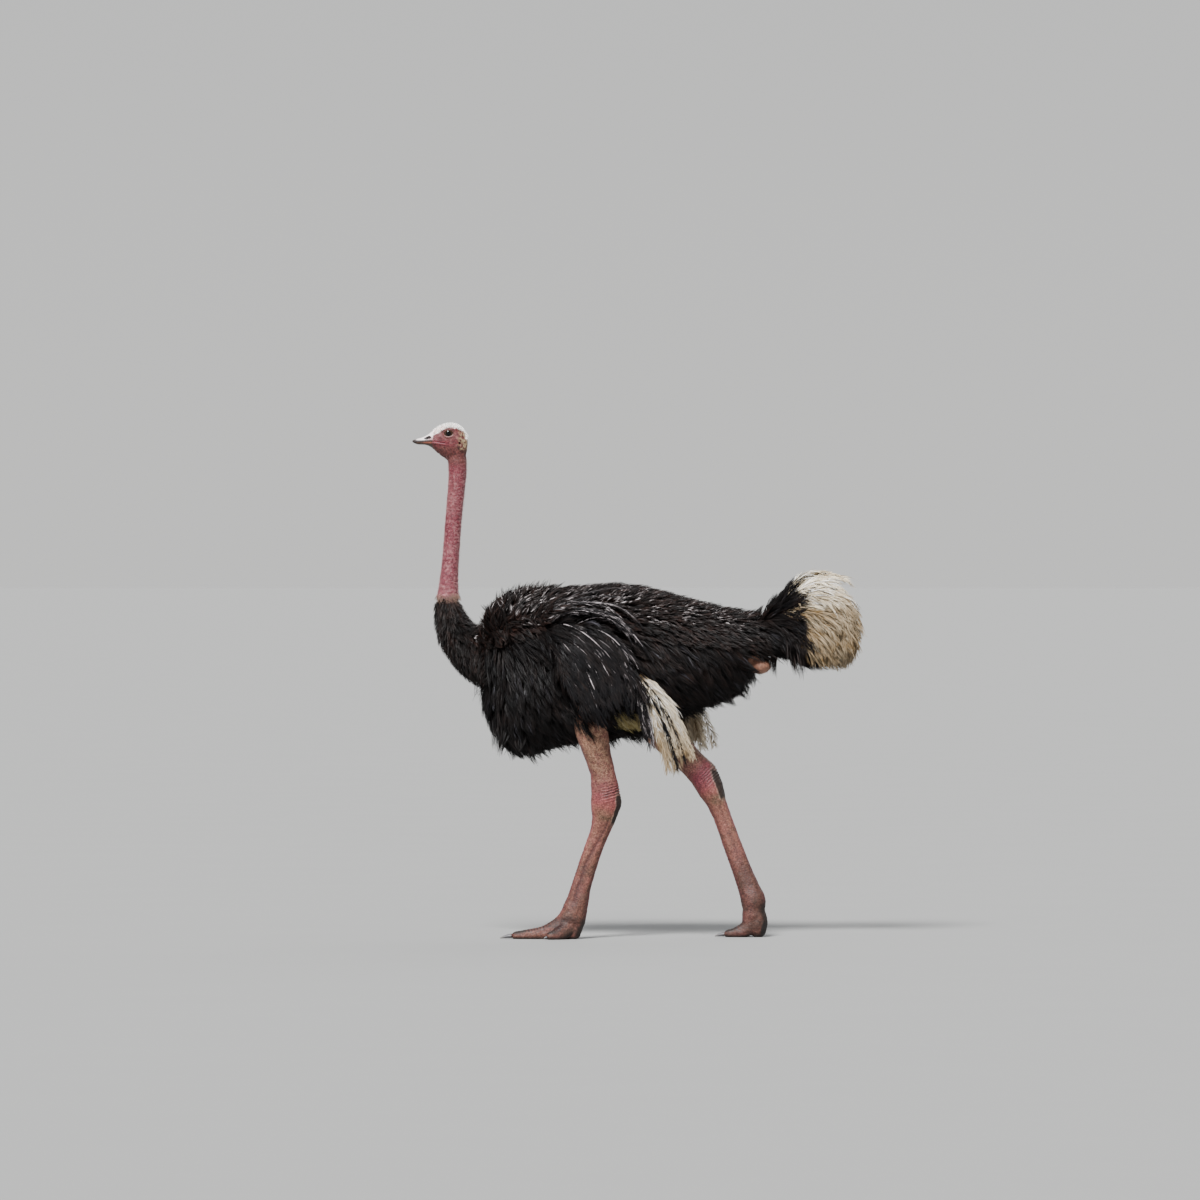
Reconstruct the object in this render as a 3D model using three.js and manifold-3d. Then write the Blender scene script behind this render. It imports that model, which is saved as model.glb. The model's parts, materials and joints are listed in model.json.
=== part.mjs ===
// A male Masai ostrich in mid stride, life size, as a still museum model.
// Millimetres, +Z up. The bird walks towards -X, its left side is -Y, and the soles stand on Z = 0.
// The origin is under the middle of the bird's box. Solids reach to the tips of the feathers.
import * as THREE from "three";
import { mergeVertices } from "three/addons/utils/BufferGeometryUtils.js";
import Module from "manifold-3d";

const wasm = await Module();
wasm.setup();

// ---- Driving dimensions ----
const GAP = 0.4; // left between neighbouring pieces
const CROWN = 2150; // top of the head above the soles
const TIPS = { bill: -954, tail: 954 }; // the foremost and the rearmost point
const EYE = { x: -801, y: 28.5, z: 2108, radius: 24.5 }; // centre of each eyeball, beside the mid plane
const GAPE = { z: 2074.5, back: -868 }; // the closed mouth: its height, and where the bill meets the face
const FAR = 5000; // half-size of the blocks that cut

// Joints of each leg, hip side first, with its own stride.
const LEGS = {
  left: {
    knee: [-258, -152, 1095],
    hock: [-140, -112, 566],
    ball: [-284, -80, 92],
    heel: { at: [-291, -80, 34], along: 48, across: 42, up: 46 },
    middleToe: [[-292, -80, 58], [-372, -78, 25], [-450, -76, 16], [-524, -75, 12]],
    clawTip: [-586, -75, 4],
    outerToe: [[-292, -92, 50], [-335, -122, 20], [-378, -143, 11]],
    outerTip: [-402, -154, 6],
  },
  right: {
    knee: [-61, 152, 1030],
    hock: [298, 116, 622],
    ball: [478, 80, 148],
    heel: { at: [494, 80, 58], along: 42, across: 42, up: 70 },
    middleToe: [[474, 80, 94], [456, 79, 38], [410, 78, 17], [366, 77, 12]],
    clawTip: [312, 76, 4],
    outerToe: [[474, 92, 80], [456, 114, 30], [418, 136, 11]],
    outerTip: [396, 146, 6],
  },
};

// Reach of a leg's ring behind, in front of and beside its axis. The axis runs knee 0, hock 1, ball 2.
const SHANK_RINGS = [
  [1.5, 38, 40, 26],
  [1.78, 40, 43, 28],
  [1.93, 47, 46, 35],
  [2.0, 48, 47, 38],
];
// The right hock is bent, so that its cord stands out above it.
const LEG_RINGS = {
  left: [
    [0.0, 100, 98, 80],
    [0.3, 84, 78, 70],
    [0.55, 64, 56, 54],
    [0.8, 53, 48, 44],
    [0.92, 57, 54, 43],
    [1.0, 62, 60, 44],
    [1.1, 48, 55, 40],
    [1.24, 38, 42, 31],
    ...SHANK_RINGS,
  ],
  right: [
    [0.0, 100, 98, 80],
    [0.3, 84, 80, 70],
    [0.55, 66, 62, 54],
    [0.8, 62, 53, 44],
    [0.92, 72, 56, 43],
    [1.0, 53, 60, 44],
    [1.1, 36, 50, 40],
    [1.24, 32, 42, 31],
    ...SHANK_RINGS,
  ],
};

// Upright slices of the trunk: x, top, widest height, bottom, half width.
const TRUNK = [
  [-640, 1388, 1206, 876, 150],
  [-590, 1442, 1210, 808, 188],
  [-505, 1472, 1205, 754, 220],
  [-400, 1480, 1200, 782, 240],
  [-270, 1480, 1195, 812, 252],
  [-107, 1492, 1200, 832, 256],
  [60, 1468, 1200, 856, 246],
  [207, 1428, 1200, 938, 216],
  [335, 1398, 1210, 978, 176],
  [425, 1380, 1235, 1030, 138],
  [480, 1372, 1255, 1112, 108],
  [560, 1400, 1280, 1160, 84],
];

// Upright slices of the tail, in the same order.
const TAIL = [
  [470, 1366, 1268, 1160, 88],
  [542, 1424, 1290, 1164, 96],
  [600, 1474, 1310, 1166, 112],
  [667, 1516, 1322, 1138, 134],
  [750, 1530, 1322, 1116, 152],
  [840, 1518, 1322, 1136, 146],
  [900, 1482, 1326, 1182, 118],
  [938, 1428, 1340, 1262, 72],
];

// Upright slices of the head with its bill, in the same order.
const HEAD = [
  [-946, 2083, 2076, 2068, 11],
  [-930, 2087, 2076, 2062, 17],
  [-910, 2092, 2076, 2062, 21],
  [-888, 2104, 2077, 2058, 26],
  [-868, 2120, 2079, 2046, 32],
  [-846, 2136, 2084, 2026, 39],
  [-820, 2146, 2092, 2006, 46],
  [-796, CROWN, 2094, 1994, 49],
  [-770, 2146, 2090, 1990, 47],
  [-748, 2132, 2080, 1998, 40],
  [-734, 2112, 2068, 2014, 30],
];

// The neck's axis, from inside the head down into the breast.
const NECK_AXIS = [
  [-768, 0, 2040],
  [-763, 0, 1975],
  [-768, 0, 1890],
  [-782, 0, 1745],
  [-793, 0, 1588],
  [-802, 0, 1455],
  [-802, 0, 1368],
  [-776, 0, 1285],
  [-730, 0, 1222],
  [-668, 0, 1186],
  [-590, 0, 1170],
];
// Reach behind, in front of and beside that axis, at shares of its length.
const NECK_RINGS = [
  [0.0, 36, 44, 36],
  [0.1, 38, 40, 36],
  [0.2, 36, 36, 34],
  [0.4, 35, 35, 33],
  [0.5, 41, 43, 40],
  [0.6, 58, 61, 54],
  [0.7, 85, 84, 74],
  [0.8, 104, 97, 90],
  [0.9, 132, 128, 108],
  [1.0, 140, 140, 124],
];

// A folded wing hangs from the shoulder, and its white quills hang from the wing.
const WING_AXIS = [
  [-402, 222, 1300],
  [-310, 252, 1265],
  [-215, 262, 1190],
  [-115, 258, 1070],
  [-22, 244, 940],
  [30, 226, 838],
];
const WING_RINGS = [
  [0.0, 60, 66, 26],
  [0.16, 128, 118, 44],
  [0.38, 165, 190, 52],
  [0.62, 142, 186, 46],
  [0.82, 88, 104, 34],
  [1.0, 34, 32, 18],
];
const QUILL_RINGS = [
  [0.0, 30, 30, 20],
  [0.3, 50, 46, 24],
  [0.65, 58, 58, 24],
  [0.88, 50, 54, 18],
  [1.0, 26, 30, 10],
];
const QUILL_AXES = {
  left: [[10, -244, 1060], [72, -236, 985], [130, -226, 890], [176, -218, 795], [202, -214, 736]],
  right: [[40, 242, 1040], [130, 232, 955], [208, 222, 880], [262, 214, 815], [288, 210, 776]],
};

// ---- Curves and lofts ----

// A smooth curve through rows [u, ...values]: returns the values at u.
function through(rows) {
  const slope = (i, k) => {
    const a = rows[Math.max(i - 1, 0)];
    const b = rows[Math.min(i + 1, rows.length - 1)];
    return (b[k] - a[k]) / (b[0] - a[0]);
  };
  return (u) => {
    let i = 0;
    while (i < rows.length - 2 && u > rows[i + 1][0]) i += 1;
    const step = rows[i + 1][0] - rows[i][0];
    const t = THREE.MathUtils.clamp((u - rows[i][0]) / step, 0, 1);
    return rows[i].slice(1).map((from, n) => {
      const k = n + 1;
      const h = t * t * (3 - 2 * t);
      const bend = t * (1 - t) * step * ((1 - t) * slope(i, k) - t * slope(i + 1, k));
      return from + (rows[i + 1][k] - from) * h + bend;
    });
  };
}

// Closes a stack of rings of equal length into a solid, with a point at each end.
function skinOver(rings, first, last) {
  const sides = rings[0].length;
  const points = [...rings.flat(), first, last];
  const index = [];
  const at = (ring, j) => ring * sides + (j % sides);
  const head = rings.length * sides;
  for (let j = 0; j < sides; j += 1) {
    for (let ring = 0; ring < rings.length - 1; ring += 1) {
      index.push(at(ring, j), at(ring, j + 1), at(ring + 1, j + 1));
      index.push(at(ring, j), at(ring + 1, j + 1), at(ring + 1, j));
    }
    index.push(head, at(0, j + 1), at(0, j));
    index.push(head + 1, at(rings.length - 1, j), at(rings.length - 1, j + 1));
  }
  const geometry = new THREE.BufferGeometry().setFromPoints(points);
  return solid(geometry.setIndex(index));
}

// A ring of a super-ellipse. frame gives its centre, the way along, and the way across.
function ringOf(frame, [plus, minus, side], sides, power) {
  const up = frame.along.clone().cross(frame.across);
  const bent = (v) => Math.sign(v) * Math.abs(v) ** (2 / power);
  return Array.from({ length: sides }, (_, j) => {
    const angle = (2 * Math.PI * j) / sides;
    const rise = bent(Math.sin(angle));
    return frame.centre
      .clone()
      .addScaledVector(frame.across, side * bent(Math.cos(angle)))
      .addScaledVector(up, rise * (rise > 0 ? plus : minus));
  });
}

// A solid through rings, with a round cap of the given depth at each end.
function loft(frameAt, reachAt, { rings, sides, power = 2, caps, from = 0, to = 1 }, grow) {
  const capRings = 2;
  const stack = [];
  const put = (u, shrink, slide) => {
    const frame = frameAt(u);
    frame.centre.addScaledVector(frame.along, slide);
    const reach = reachAt(u).map((r) => (r + grow) * shrink);
    stack.push(ringOf(frame, reach, sides, power));
    return frame;
  };
  for (let i = capRings - 1; i > 0; i -= 1) {
    const angle = (Math.PI / 2) * (i / capRings);
    put(from, Math.cos(angle), -(caps[0] + grow) * Math.sin(angle));
  }
  for (let i = 0; i <= rings; i += 1) put(THREE.MathUtils.lerp(from, to, i / rings), 1, 0);
  for (let i = 1; i < capRings; i += 1) {
    const angle = (Math.PI / 2) * (i / capRings);
    put(to, Math.cos(angle), (caps[1] + grow) * Math.sin(angle));
  }
  const start = frameAt(from);
  const end = frameAt(to);
  return skinOver(
    stack,
    start.centre.addScaledVector(start.along, -(caps[0] + grow)),
    end.centre.addScaledVector(end.along, caps[1] + grow),
  );
}

// A loft of upright slices, from rows of x, top, widest height, bottom and half width.
function slices(rows, options, grow = 0) {
  const shape = through(rows);
  const frameAt = (x) => ({
    centre: new THREE.Vector3(x, 0, shape(x)[1]),
    along: new THREE.Vector3(1, 0, 0),
    across: new THREE.Vector3(0, 1, 0),
  });
  const reachAt = (x) => {
    const [top, widest, bottom, half] = shape(x);
    return [top - widest, widest - bottom, half];
  };
  const range = { from: rows[0][0], to: rows[rows.length - 1][0] };
  return loft(frameAt, reachAt, { ...options, ...range }, grow);
}

// A loft along a bent axis, from its points and rows of share, reach behind, in front and beside.
function limb(points, rows, options, grow = 0) {
  const axis = new THREE.CatmullRomCurve3(points.map((p) => new THREE.Vector3(...p)));
  const reachAt = through(rows);
  const frameAt = (u) => {
    const along = axis.getTangent(u).normalize();
    const across = new THREE.Vector3(0, 1, 0).addScaledVector(along, -along.y).normalize();
    return { centre: axis.getPoint(u), along, across };
  };
  return loft(frameAt, reachAt, options, grow);
}

// ---- Solids ----

function solid(geometry) {
  geometry.deleteAttribute("normal");
  geometry.deleteAttribute("uv");
  const merged = mergeVertices(geometry, 1e-3);
  return new wasm.Manifold(
    new wasm.Mesh({
      numProp: 3,
      vertProperties: new Float32Array(merged.attributes.position.array),
      triVerts: new Uint32Array(merged.index.array),
    }),
  );
}

function ellipsoid([x, y, z], [along, across, up], segments = 16) {
  const geometry = new THREE.SphereGeometry(1, segments, segments / 2);
  return solid(geometry.scale(along, across, up).translate(x, y, z));
}

// The half of space behind a plane through point, on the side that away points from.
function halfSpace(point, away, shift) {
  const block = new THREE.BoxGeometry(FAR, FAR, FAR).translate(0, 0, -FAR / 2);
  const turn = new THREE.Quaternion().setFromUnitVectors(
    new THREE.Vector3(0, 0, 1),
    new THREE.Vector3(...away).normalize(),
  );
  block.translate(0, 0, shift).applyQuaternion(turn).translate(...point);
  return solid(block);
}

// Parts a solid at a plane, and returns the piece ahead of it and the piece behind, a gap apart.
function parted(whole, point, away) {
  const behind = whole.intersect(halfSpace(point, away, -GAP / 2));
  const ahead = whole.subtract(halfSpace(point, away, GAP / 2));
  return [ahead, behind];
}

// The largest of a solid's separate bodies, without slivers that a cut leaves.
function largest(pieces) {
  return pieces.decompose().reduce((best, one) => (one.volume() > best.volume() ? one : best));
}

// ---- Head, neck, trunk and tail: one whole, parted at thin cuts ----

function trunkSolid(grow = 0) {
  const barrel = slices(TRUNK, { rings: 18, sides: 24, power: 2.15, caps: [34, 20] }, grow);
  return barrel.add(ellipsoid([500, 0, 1142], [40 + grow, 40 + grow, 34 + grow], 12)); // vent
}

function bodyPieces() {
  const head = slices(HEAD, { rings: 17, sides: 18, power: 2.1, caps: [HEAD[0][0] - TIPS.bill, 12] });
  const neck = limb(NECK_AXIS, NECK_RINGS, { rings: 24, sides: 16, caps: [20, 20] });
  const tail = slices(TAIL, { rings: 10, sides: 18, power: 2.1, caps: [20, TIPS.tail - TAIL[TAIL.length - 1][0]] });
  const whole = trunkSolid().add(tail).add(neck).add(head);

  const [front, back] = parted(whole, [-668, 0, 1180], [-1, 0, 0]);
  const [aboveNeck, neckWhole] = parted(front, [-764, 0, 1988], [-0.36, 0, 0.93]);
  const [bill, cranium] = parted(aboveNeck, [GAPE.back, 0, 2080], [-1, 0, 0]);
  const [billUpper, billLower] = parted(bill, [0, 0, GAPE.z], [0, 0, 1]);
  const [neckUpper, neckLower] = parted(neckWhole, [-800, 0, 1412], [0.1, 0, 1]);
  const [trunk, behind] = parted(back, [520, 0, 1270], [-0.92, 0, -0.38]);
  const [tailBase, tailPlumes] = parted(behind, [688, 0, 1320], [-0.98, 0, -0.18]);
  return { cranium, billUpper, billLower, neckUpper, neckLower, trunk, tailBase, tailPlumes };
}

// ---- Wings ----

function mirrored(points, side) {
  return points.map(([x, y, z]) => [x, side * y, z]);
}

function wingSolid(side, grow = 0) {
  const options = { rings: 10, sides: 14, power: 2.3, caps: [30, 40] };
  return limb(mirrored(WING_AXIS, side), WING_RINGS, options, grow);
}

function quillSolid(axis) {
  return limb(axis, QUILL_RINGS, { rings: 7, sides: 10, caps: [10, 14] });
}

// ---- Legs ----

// Points on the leg's axis, so that equal steps of the curve's parameter lie between the joints.
function legAxis({ knee, hock, ball }) {
  const share = (a, b, t) => a.map((v, i) => THREE.MathUtils.lerp(v, b[i], t));
  return [knee, share(knee, hock, 0.5), hock, share(hock, ball, 0.5), ball];
}

function legSolid(name, grow = 0) {
  const rows = LEG_RINGS[name].map(([u, ...reach]) => [u / 2, ...reach]);
  const options = { rings: 16, sides: 12, power: 2.1, caps: [30, 30] };
  return limb(legAxis(LEGS[name]), rows, options, grow);
}

function heelSolid({ heel, ball }, grow = 0) {
  const sizes = [heel.along, heel.across, heel.up].map((v) => v + grow);
  const knuckle = ellipsoid(ball, [50 + grow, 41 + grow, 50 + grow], 10);
  return ellipsoid(heel.at, sizes, 10).add(knuckle);
}

function toeSolid(axis, rows, grow = 0) {
  return limb(axis, rows, { rings: 6, sides: 10, power: 2.6, caps: [12, 14] }, grow);
}

const MIDDLE_TOE_RINGS = [
  [0.0, 46, 42, 38],
  [0.4, 30, 36, 34],
  [0.75, 23, 24, 30],
  [1.0, 19, 18, 23],
];
const OUTER_TOE_RINGS = [
  [0.0, 36, 36, 28],
  [0.5, 25, 30, 25],
  [1.0, 18, 20, 18],
];

function clawSolid(from, tip, [high, wide]) {
  const root = new THREE.Vector3(...from);
  const end = new THREE.Vector3(...tip);
  const start = root.clone().lerp(end, -0.2).toArray();
  const middle = root.clone().lerp(end, 0.45).add(new THREE.Vector3(0, 0, high * 0.25)).toArray();
  const rows = [[0, high, high, wide], [0.6, high * 0.6, high * 0.6, wide * 0.7], [1, 2.5, 2.5, 3]];
  return limb([start, middle, tip], rows, { rings: 4, sides: 8, caps: [4, 3] });
}

function footPieces(name) {
  const leg = LEGS[name];
  const { middleToe, clawTip, outerToe, outerTip } = leg;
  const middle = (grow) => toeSolid(middleToe, MIDDLE_TOE_RINGS, grow);
  const outer = (grow) => toeSolid(outerToe, OUTER_TOE_RINGS, grow);
  const ground = halfSpace([0, 0, 0], [0, 0, 1], 0);
  const stood = (piece) => largest(piece.subtract(ground));
  const ankle = heelSolid(leg, GAP).add(legSolid(name, GAP));
  return {
    heel: stood(heelSolid(leg).subtract(legSolid(name, GAP))),
    toe_middle: stood(middle(0).subtract(ankle)),
    toe_outer: stood(outer(0).subtract(middle(GAP)).subtract(ankle)),
    claw_middle: stood(
      clawSolid(middleToe[middleToe.length - 1], clawTip, [13, 15]).subtract(middle(GAP)),
    ),
    claw_outer: stood(
      clawSolid(outerToe[outerToe.length - 1], outerTip, [9, 10]).subtract(outer(GAP)),
    ),
  };
}

// ---- Colours and nodes ----

const FINISH = {
  skin_pink: [0xb9656a, 0.55],
  horn: [0xb9a58e, 0.4],
  eye: [0x1c120c, 0.08],
  black_plume: [0x14110f, 0.6],
  white_plume: [0xd8cdb8, 0.75],
  leg_skin: [0xa26a5e, 0.6],
  claw: [0x6f6c6c, 0.4],
};

const ostrich = new THREE.Group();

function show(name, piece, finish) {
  const { numProp, vertProperties, triVerts } = piece.getMesh();
  const positions = new Float32Array((vertProperties.length / numProp) * 3);
  for (let i = 0; i < positions.length / 3; i += 1) {
    positions.set(vertProperties.subarray(i * numProp, i * numProp + 3), i * 3);
  }
  const geometry = new THREE.BufferGeometry();
  geometry.setAttribute("position", new THREE.BufferAttribute(positions, 3));
  geometry.setIndex(new THREE.BufferAttribute(triVerts, 1)).computeVertexNormals();
  const [color, roughness] = FINISH[finish];
  const material = new THREE.MeshStandardMaterial({ color, roughness, metalness: 0 });
  const mesh = new THREE.Mesh(geometry, material);
  mesh.name = name;
  ostrich.add(mesh);
}

function eyeball(side, grow = 0) {
  const { x, y, z, radius } = EYE;
  const size = radius + grow;
  return ellipsoid([x, side * y, z], [size, size, size], 12);
}

const body = bodyPieces();
const sockets = eyeball(-1, GAP).add(eyeball(1, GAP));
show("head", largest(body.cranium.subtract(sockets)), "skin_pink");
show("bill_upper", largest(body.billUpper), "horn");
show("bill_lower", largest(body.billLower), "horn");
show("neck_upper", largest(body.neckUpper), "skin_pink");
show("neck_lower", largest(body.neckLower), "black_plume");
show("trunk", largest(body.trunk), "black_plume");
show("tail_base", largest(body.tailBase), "black_plume");
show("tail_plumes", largest(body.tailPlumes), "white_plume");

for (const [name, side] of [["left", -1], ["right", 1]]) {
  const foot = footPieces(name);
  const leg = legSolid(name).subtract(trunkSolid(GAP));
  const [drumstick, shank] = parted(leg, LEGS[name].hock, [0.15, 0, 1]);
  show(`eye_${name}`, eyeball(side), "eye");
  show(`drumstick_${name}`, largest(drumstick), "leg_skin");
  show(`shank_${name}`, largest(shank), "leg_skin");
  show(`heel_${name}`, foot.heel, "leg_skin");
  show(`toe_middle_${name}`, foot.toe_middle, "leg_skin");
  show(`toe_outer_${name}`, foot.toe_outer, "leg_skin");
  show(`claw_middle_${name}`, foot.claw_middle, "claw");
  show(`claw_outer_${name}`, foot.claw_outer, "claw");

  const clearance = trunkSolid(GAP).add(legSolid(name, GAP));
  const wing = largest(wingSolid(side).subtract(clearance));
  const quills = quillSolid(QUILL_AXES[name]).subtract(clearance).subtract(wingSolid(side, GAP));
  show(`wing_${name}`, wing, "black_plume");
  show(`quills_${name}`, largest(quills), "white_plume");
}

export default ostrich;
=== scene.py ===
"""A life-size museum model of a male Masai ostrich in mid stride.

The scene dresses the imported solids. One skin covers the flesh, the eyes, bill and claws are
separate, and every feather is joined mesh over the skin. Units are metres, +Z is up, the bird
walks towards -X and its left side is -Y.
"""

from __future__ import annotations

import json
import logging
import math
from dataclasses import dataclass, field
from enum import Enum
from typing import Any, Callable, Iterable, Sequence

import bpy
import numpy as np
import openvdb
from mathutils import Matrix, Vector
from mathutils.kdtree import KDTree

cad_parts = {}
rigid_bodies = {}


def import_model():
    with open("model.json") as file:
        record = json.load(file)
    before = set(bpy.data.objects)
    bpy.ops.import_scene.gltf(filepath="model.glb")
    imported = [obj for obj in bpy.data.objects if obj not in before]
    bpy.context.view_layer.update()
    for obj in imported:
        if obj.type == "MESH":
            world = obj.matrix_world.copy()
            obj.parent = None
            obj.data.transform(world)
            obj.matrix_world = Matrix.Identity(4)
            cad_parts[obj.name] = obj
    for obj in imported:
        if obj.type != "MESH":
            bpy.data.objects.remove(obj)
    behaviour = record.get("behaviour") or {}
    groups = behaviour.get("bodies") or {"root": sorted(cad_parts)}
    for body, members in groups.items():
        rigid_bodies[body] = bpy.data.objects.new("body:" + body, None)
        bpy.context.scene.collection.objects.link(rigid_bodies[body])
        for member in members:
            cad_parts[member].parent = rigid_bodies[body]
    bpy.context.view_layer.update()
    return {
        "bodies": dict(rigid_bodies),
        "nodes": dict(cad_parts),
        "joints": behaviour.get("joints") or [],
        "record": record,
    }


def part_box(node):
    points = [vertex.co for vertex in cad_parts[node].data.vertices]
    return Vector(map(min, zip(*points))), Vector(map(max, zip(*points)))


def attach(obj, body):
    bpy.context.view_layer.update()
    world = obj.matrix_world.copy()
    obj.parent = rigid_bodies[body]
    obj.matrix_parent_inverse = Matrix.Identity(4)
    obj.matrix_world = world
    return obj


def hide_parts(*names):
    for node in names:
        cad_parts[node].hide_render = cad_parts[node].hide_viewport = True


Array = np.ndarray
LOG = logging.getLogger("ostrich")
SEED = 11
PATCH = 0.003  # side of one tuft's patch in the unwrap
PIECE_FACES = 97_000  # most four-sided faces in one piece of the coat


class Slot(Enum):
    """The record's material slots."""

    SKIN = "skin_pink"
    HORN = "horn"
    EYE = "eye"
    BLACK = "black_plume"
    WHITE = "white_plume"
    CLAW = "claw"


class Side(Enum):
    """The two sides of the bird, as the sign of Y."""

    LEFT = -1
    RIGHT = 1

    @property
    def word(self) -> str:
        """The side's name as the nodes spell it."""
        return self.name.lower()


# ---- Numbers in space ----


def unit(vectors: Array) -> Array:
    """Vectors scaled to length one."""
    return vectors / np.maximum(np.linalg.norm(vectors, axis=-1, keepdims=True), 1e-9)


def rise(values: Array, start: float, end: float) -> Array:
    """A smooth step from 0 at start to 1 at end."""
    share = np.clip((values - start) / (end - start), 0.0, 1.0)
    return share * share * (3.0 - 2.0 * share)


def hump(values: Array, centre: float, width: float) -> Array:
    """A smooth hump of height 1 at centre."""
    return np.exp(-(((values - centre) / width) ** 2))


def spot(points: Array, centre: Sequence[float], sizes: Sequence[float]) -> Array:
    """A smooth blob of height 1 at centre, the same on both sides of the bird."""
    near = np.column_stack([points[:, 0], np.abs(points[:, 1]), points[:, 2]])
    return np.exp(-np.sum(((near - centre) / sizes) ** 2, axis=1))


def trilinear(values: Array, place: Array) -> Array:
    """Reads a grid between its cells.

    Args:
        values: A three-dimensional grid.
        place: Points in cells, one row each.

    Returns:
        One value for each point.
    """
    cell = np.clip(np.floor(place), 0, np.array(values.shape) - 2).astype(int)
    share = np.clip(place - cell, 0.0, 1.0)
    total = np.zeros(len(place))
    for corner in np.ndindex(2, 2, 2):
        weight = np.prod(np.where(corner, share, 1.0 - share), axis=1)
        i, j, k = (cell + corner).T
        total += weight * values[i, j, k]
    return total


class Grain:
    """Smooth seeded noise in space, between -1 and 1."""

    def __init__(self, seed: int) -> None:
        """Draws the lattice of random values that the noise is read from."""
        self.lattice = np.random.default_rng(seed).uniform(-1.0, 1.0, (33, 33, 33))

    def at(self, points: Array, scale: float) -> Array:
        """Reads the noise.

        Args:
            points: Points in metres.
            scale: The size of one blotch, in metres.

        Returns:
            One value for each point.
        """
        place = np.mod(points / scale, 32.0)
        cell = np.floor(place)
        share = place - cell
        return trilinear(self.lattice, cell + share * share * (3.0 - 2.0 * share))


@dataclass
class Way:
    """A bent line in space, measured along from its first point."""

    points: Array

    def __post_init__(self) -> None:
        """Measures the line."""
        self.points = np.asarray(self.points, dtype=float)
        steps = np.linalg.norm(np.diff(self.points, axis=0), axis=1)
        self.marks = np.concatenate([[0.0], np.cumsum(steps)])

    @classmethod
    def upright(cls, *places: tuple[float, float]) -> Way:
        """A line in the bird's middle plane, from its places in x and z."""
        return cls(np.array([(x, 0.0, z) for x, z in places]))

    def at(self, share: Array) -> Array:
        """Points at shares of the length, rounded at the bends.

        Args:
            share: Shares of the length, from 0 to 1.

        Returns:
            The points.
        """
        lengths = np.asarray(share) * self.marks[-1]
        reach = self.marks[-1] * 0.06
        near = [
            np.stack([np.interp(lengths + d, self.marks, self.points[:, i]) for i in range(3)], -1)
            for d in (-reach, 0.0, reach)
        ]
        return (near[0] + 2.0 * near[1] + near[2]) / 4.0

    def nearest(self, points: Array) -> tuple[Array, Array]:
        """Finds where points lie beside the line.

        Args:
            points: Points in metres.

        Returns:
            The length along the line, and the offset from it, for each point.
        """
        best = np.full(len(points), np.inf)
        along = np.zeros(len(points))
        offset = np.zeros_like(points)
        for start, end, mark in zip(self.points, self.points[1:], self.marks):
            way = end - start
            share = np.clip((points - start) @ way / (way @ way), 0.0, 1.0)
            away = points - start - share[:, None] * way
            gap = np.einsum("ij,ij->i", away, away)
            closer = gap < best
            best[closer] = gap[closer]
            along[closer] = mark + share[closer] * np.linalg.norm(way)
            offset[closer] = away[closer]
        return along, offset


# ---- Solids as distances ----


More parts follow.
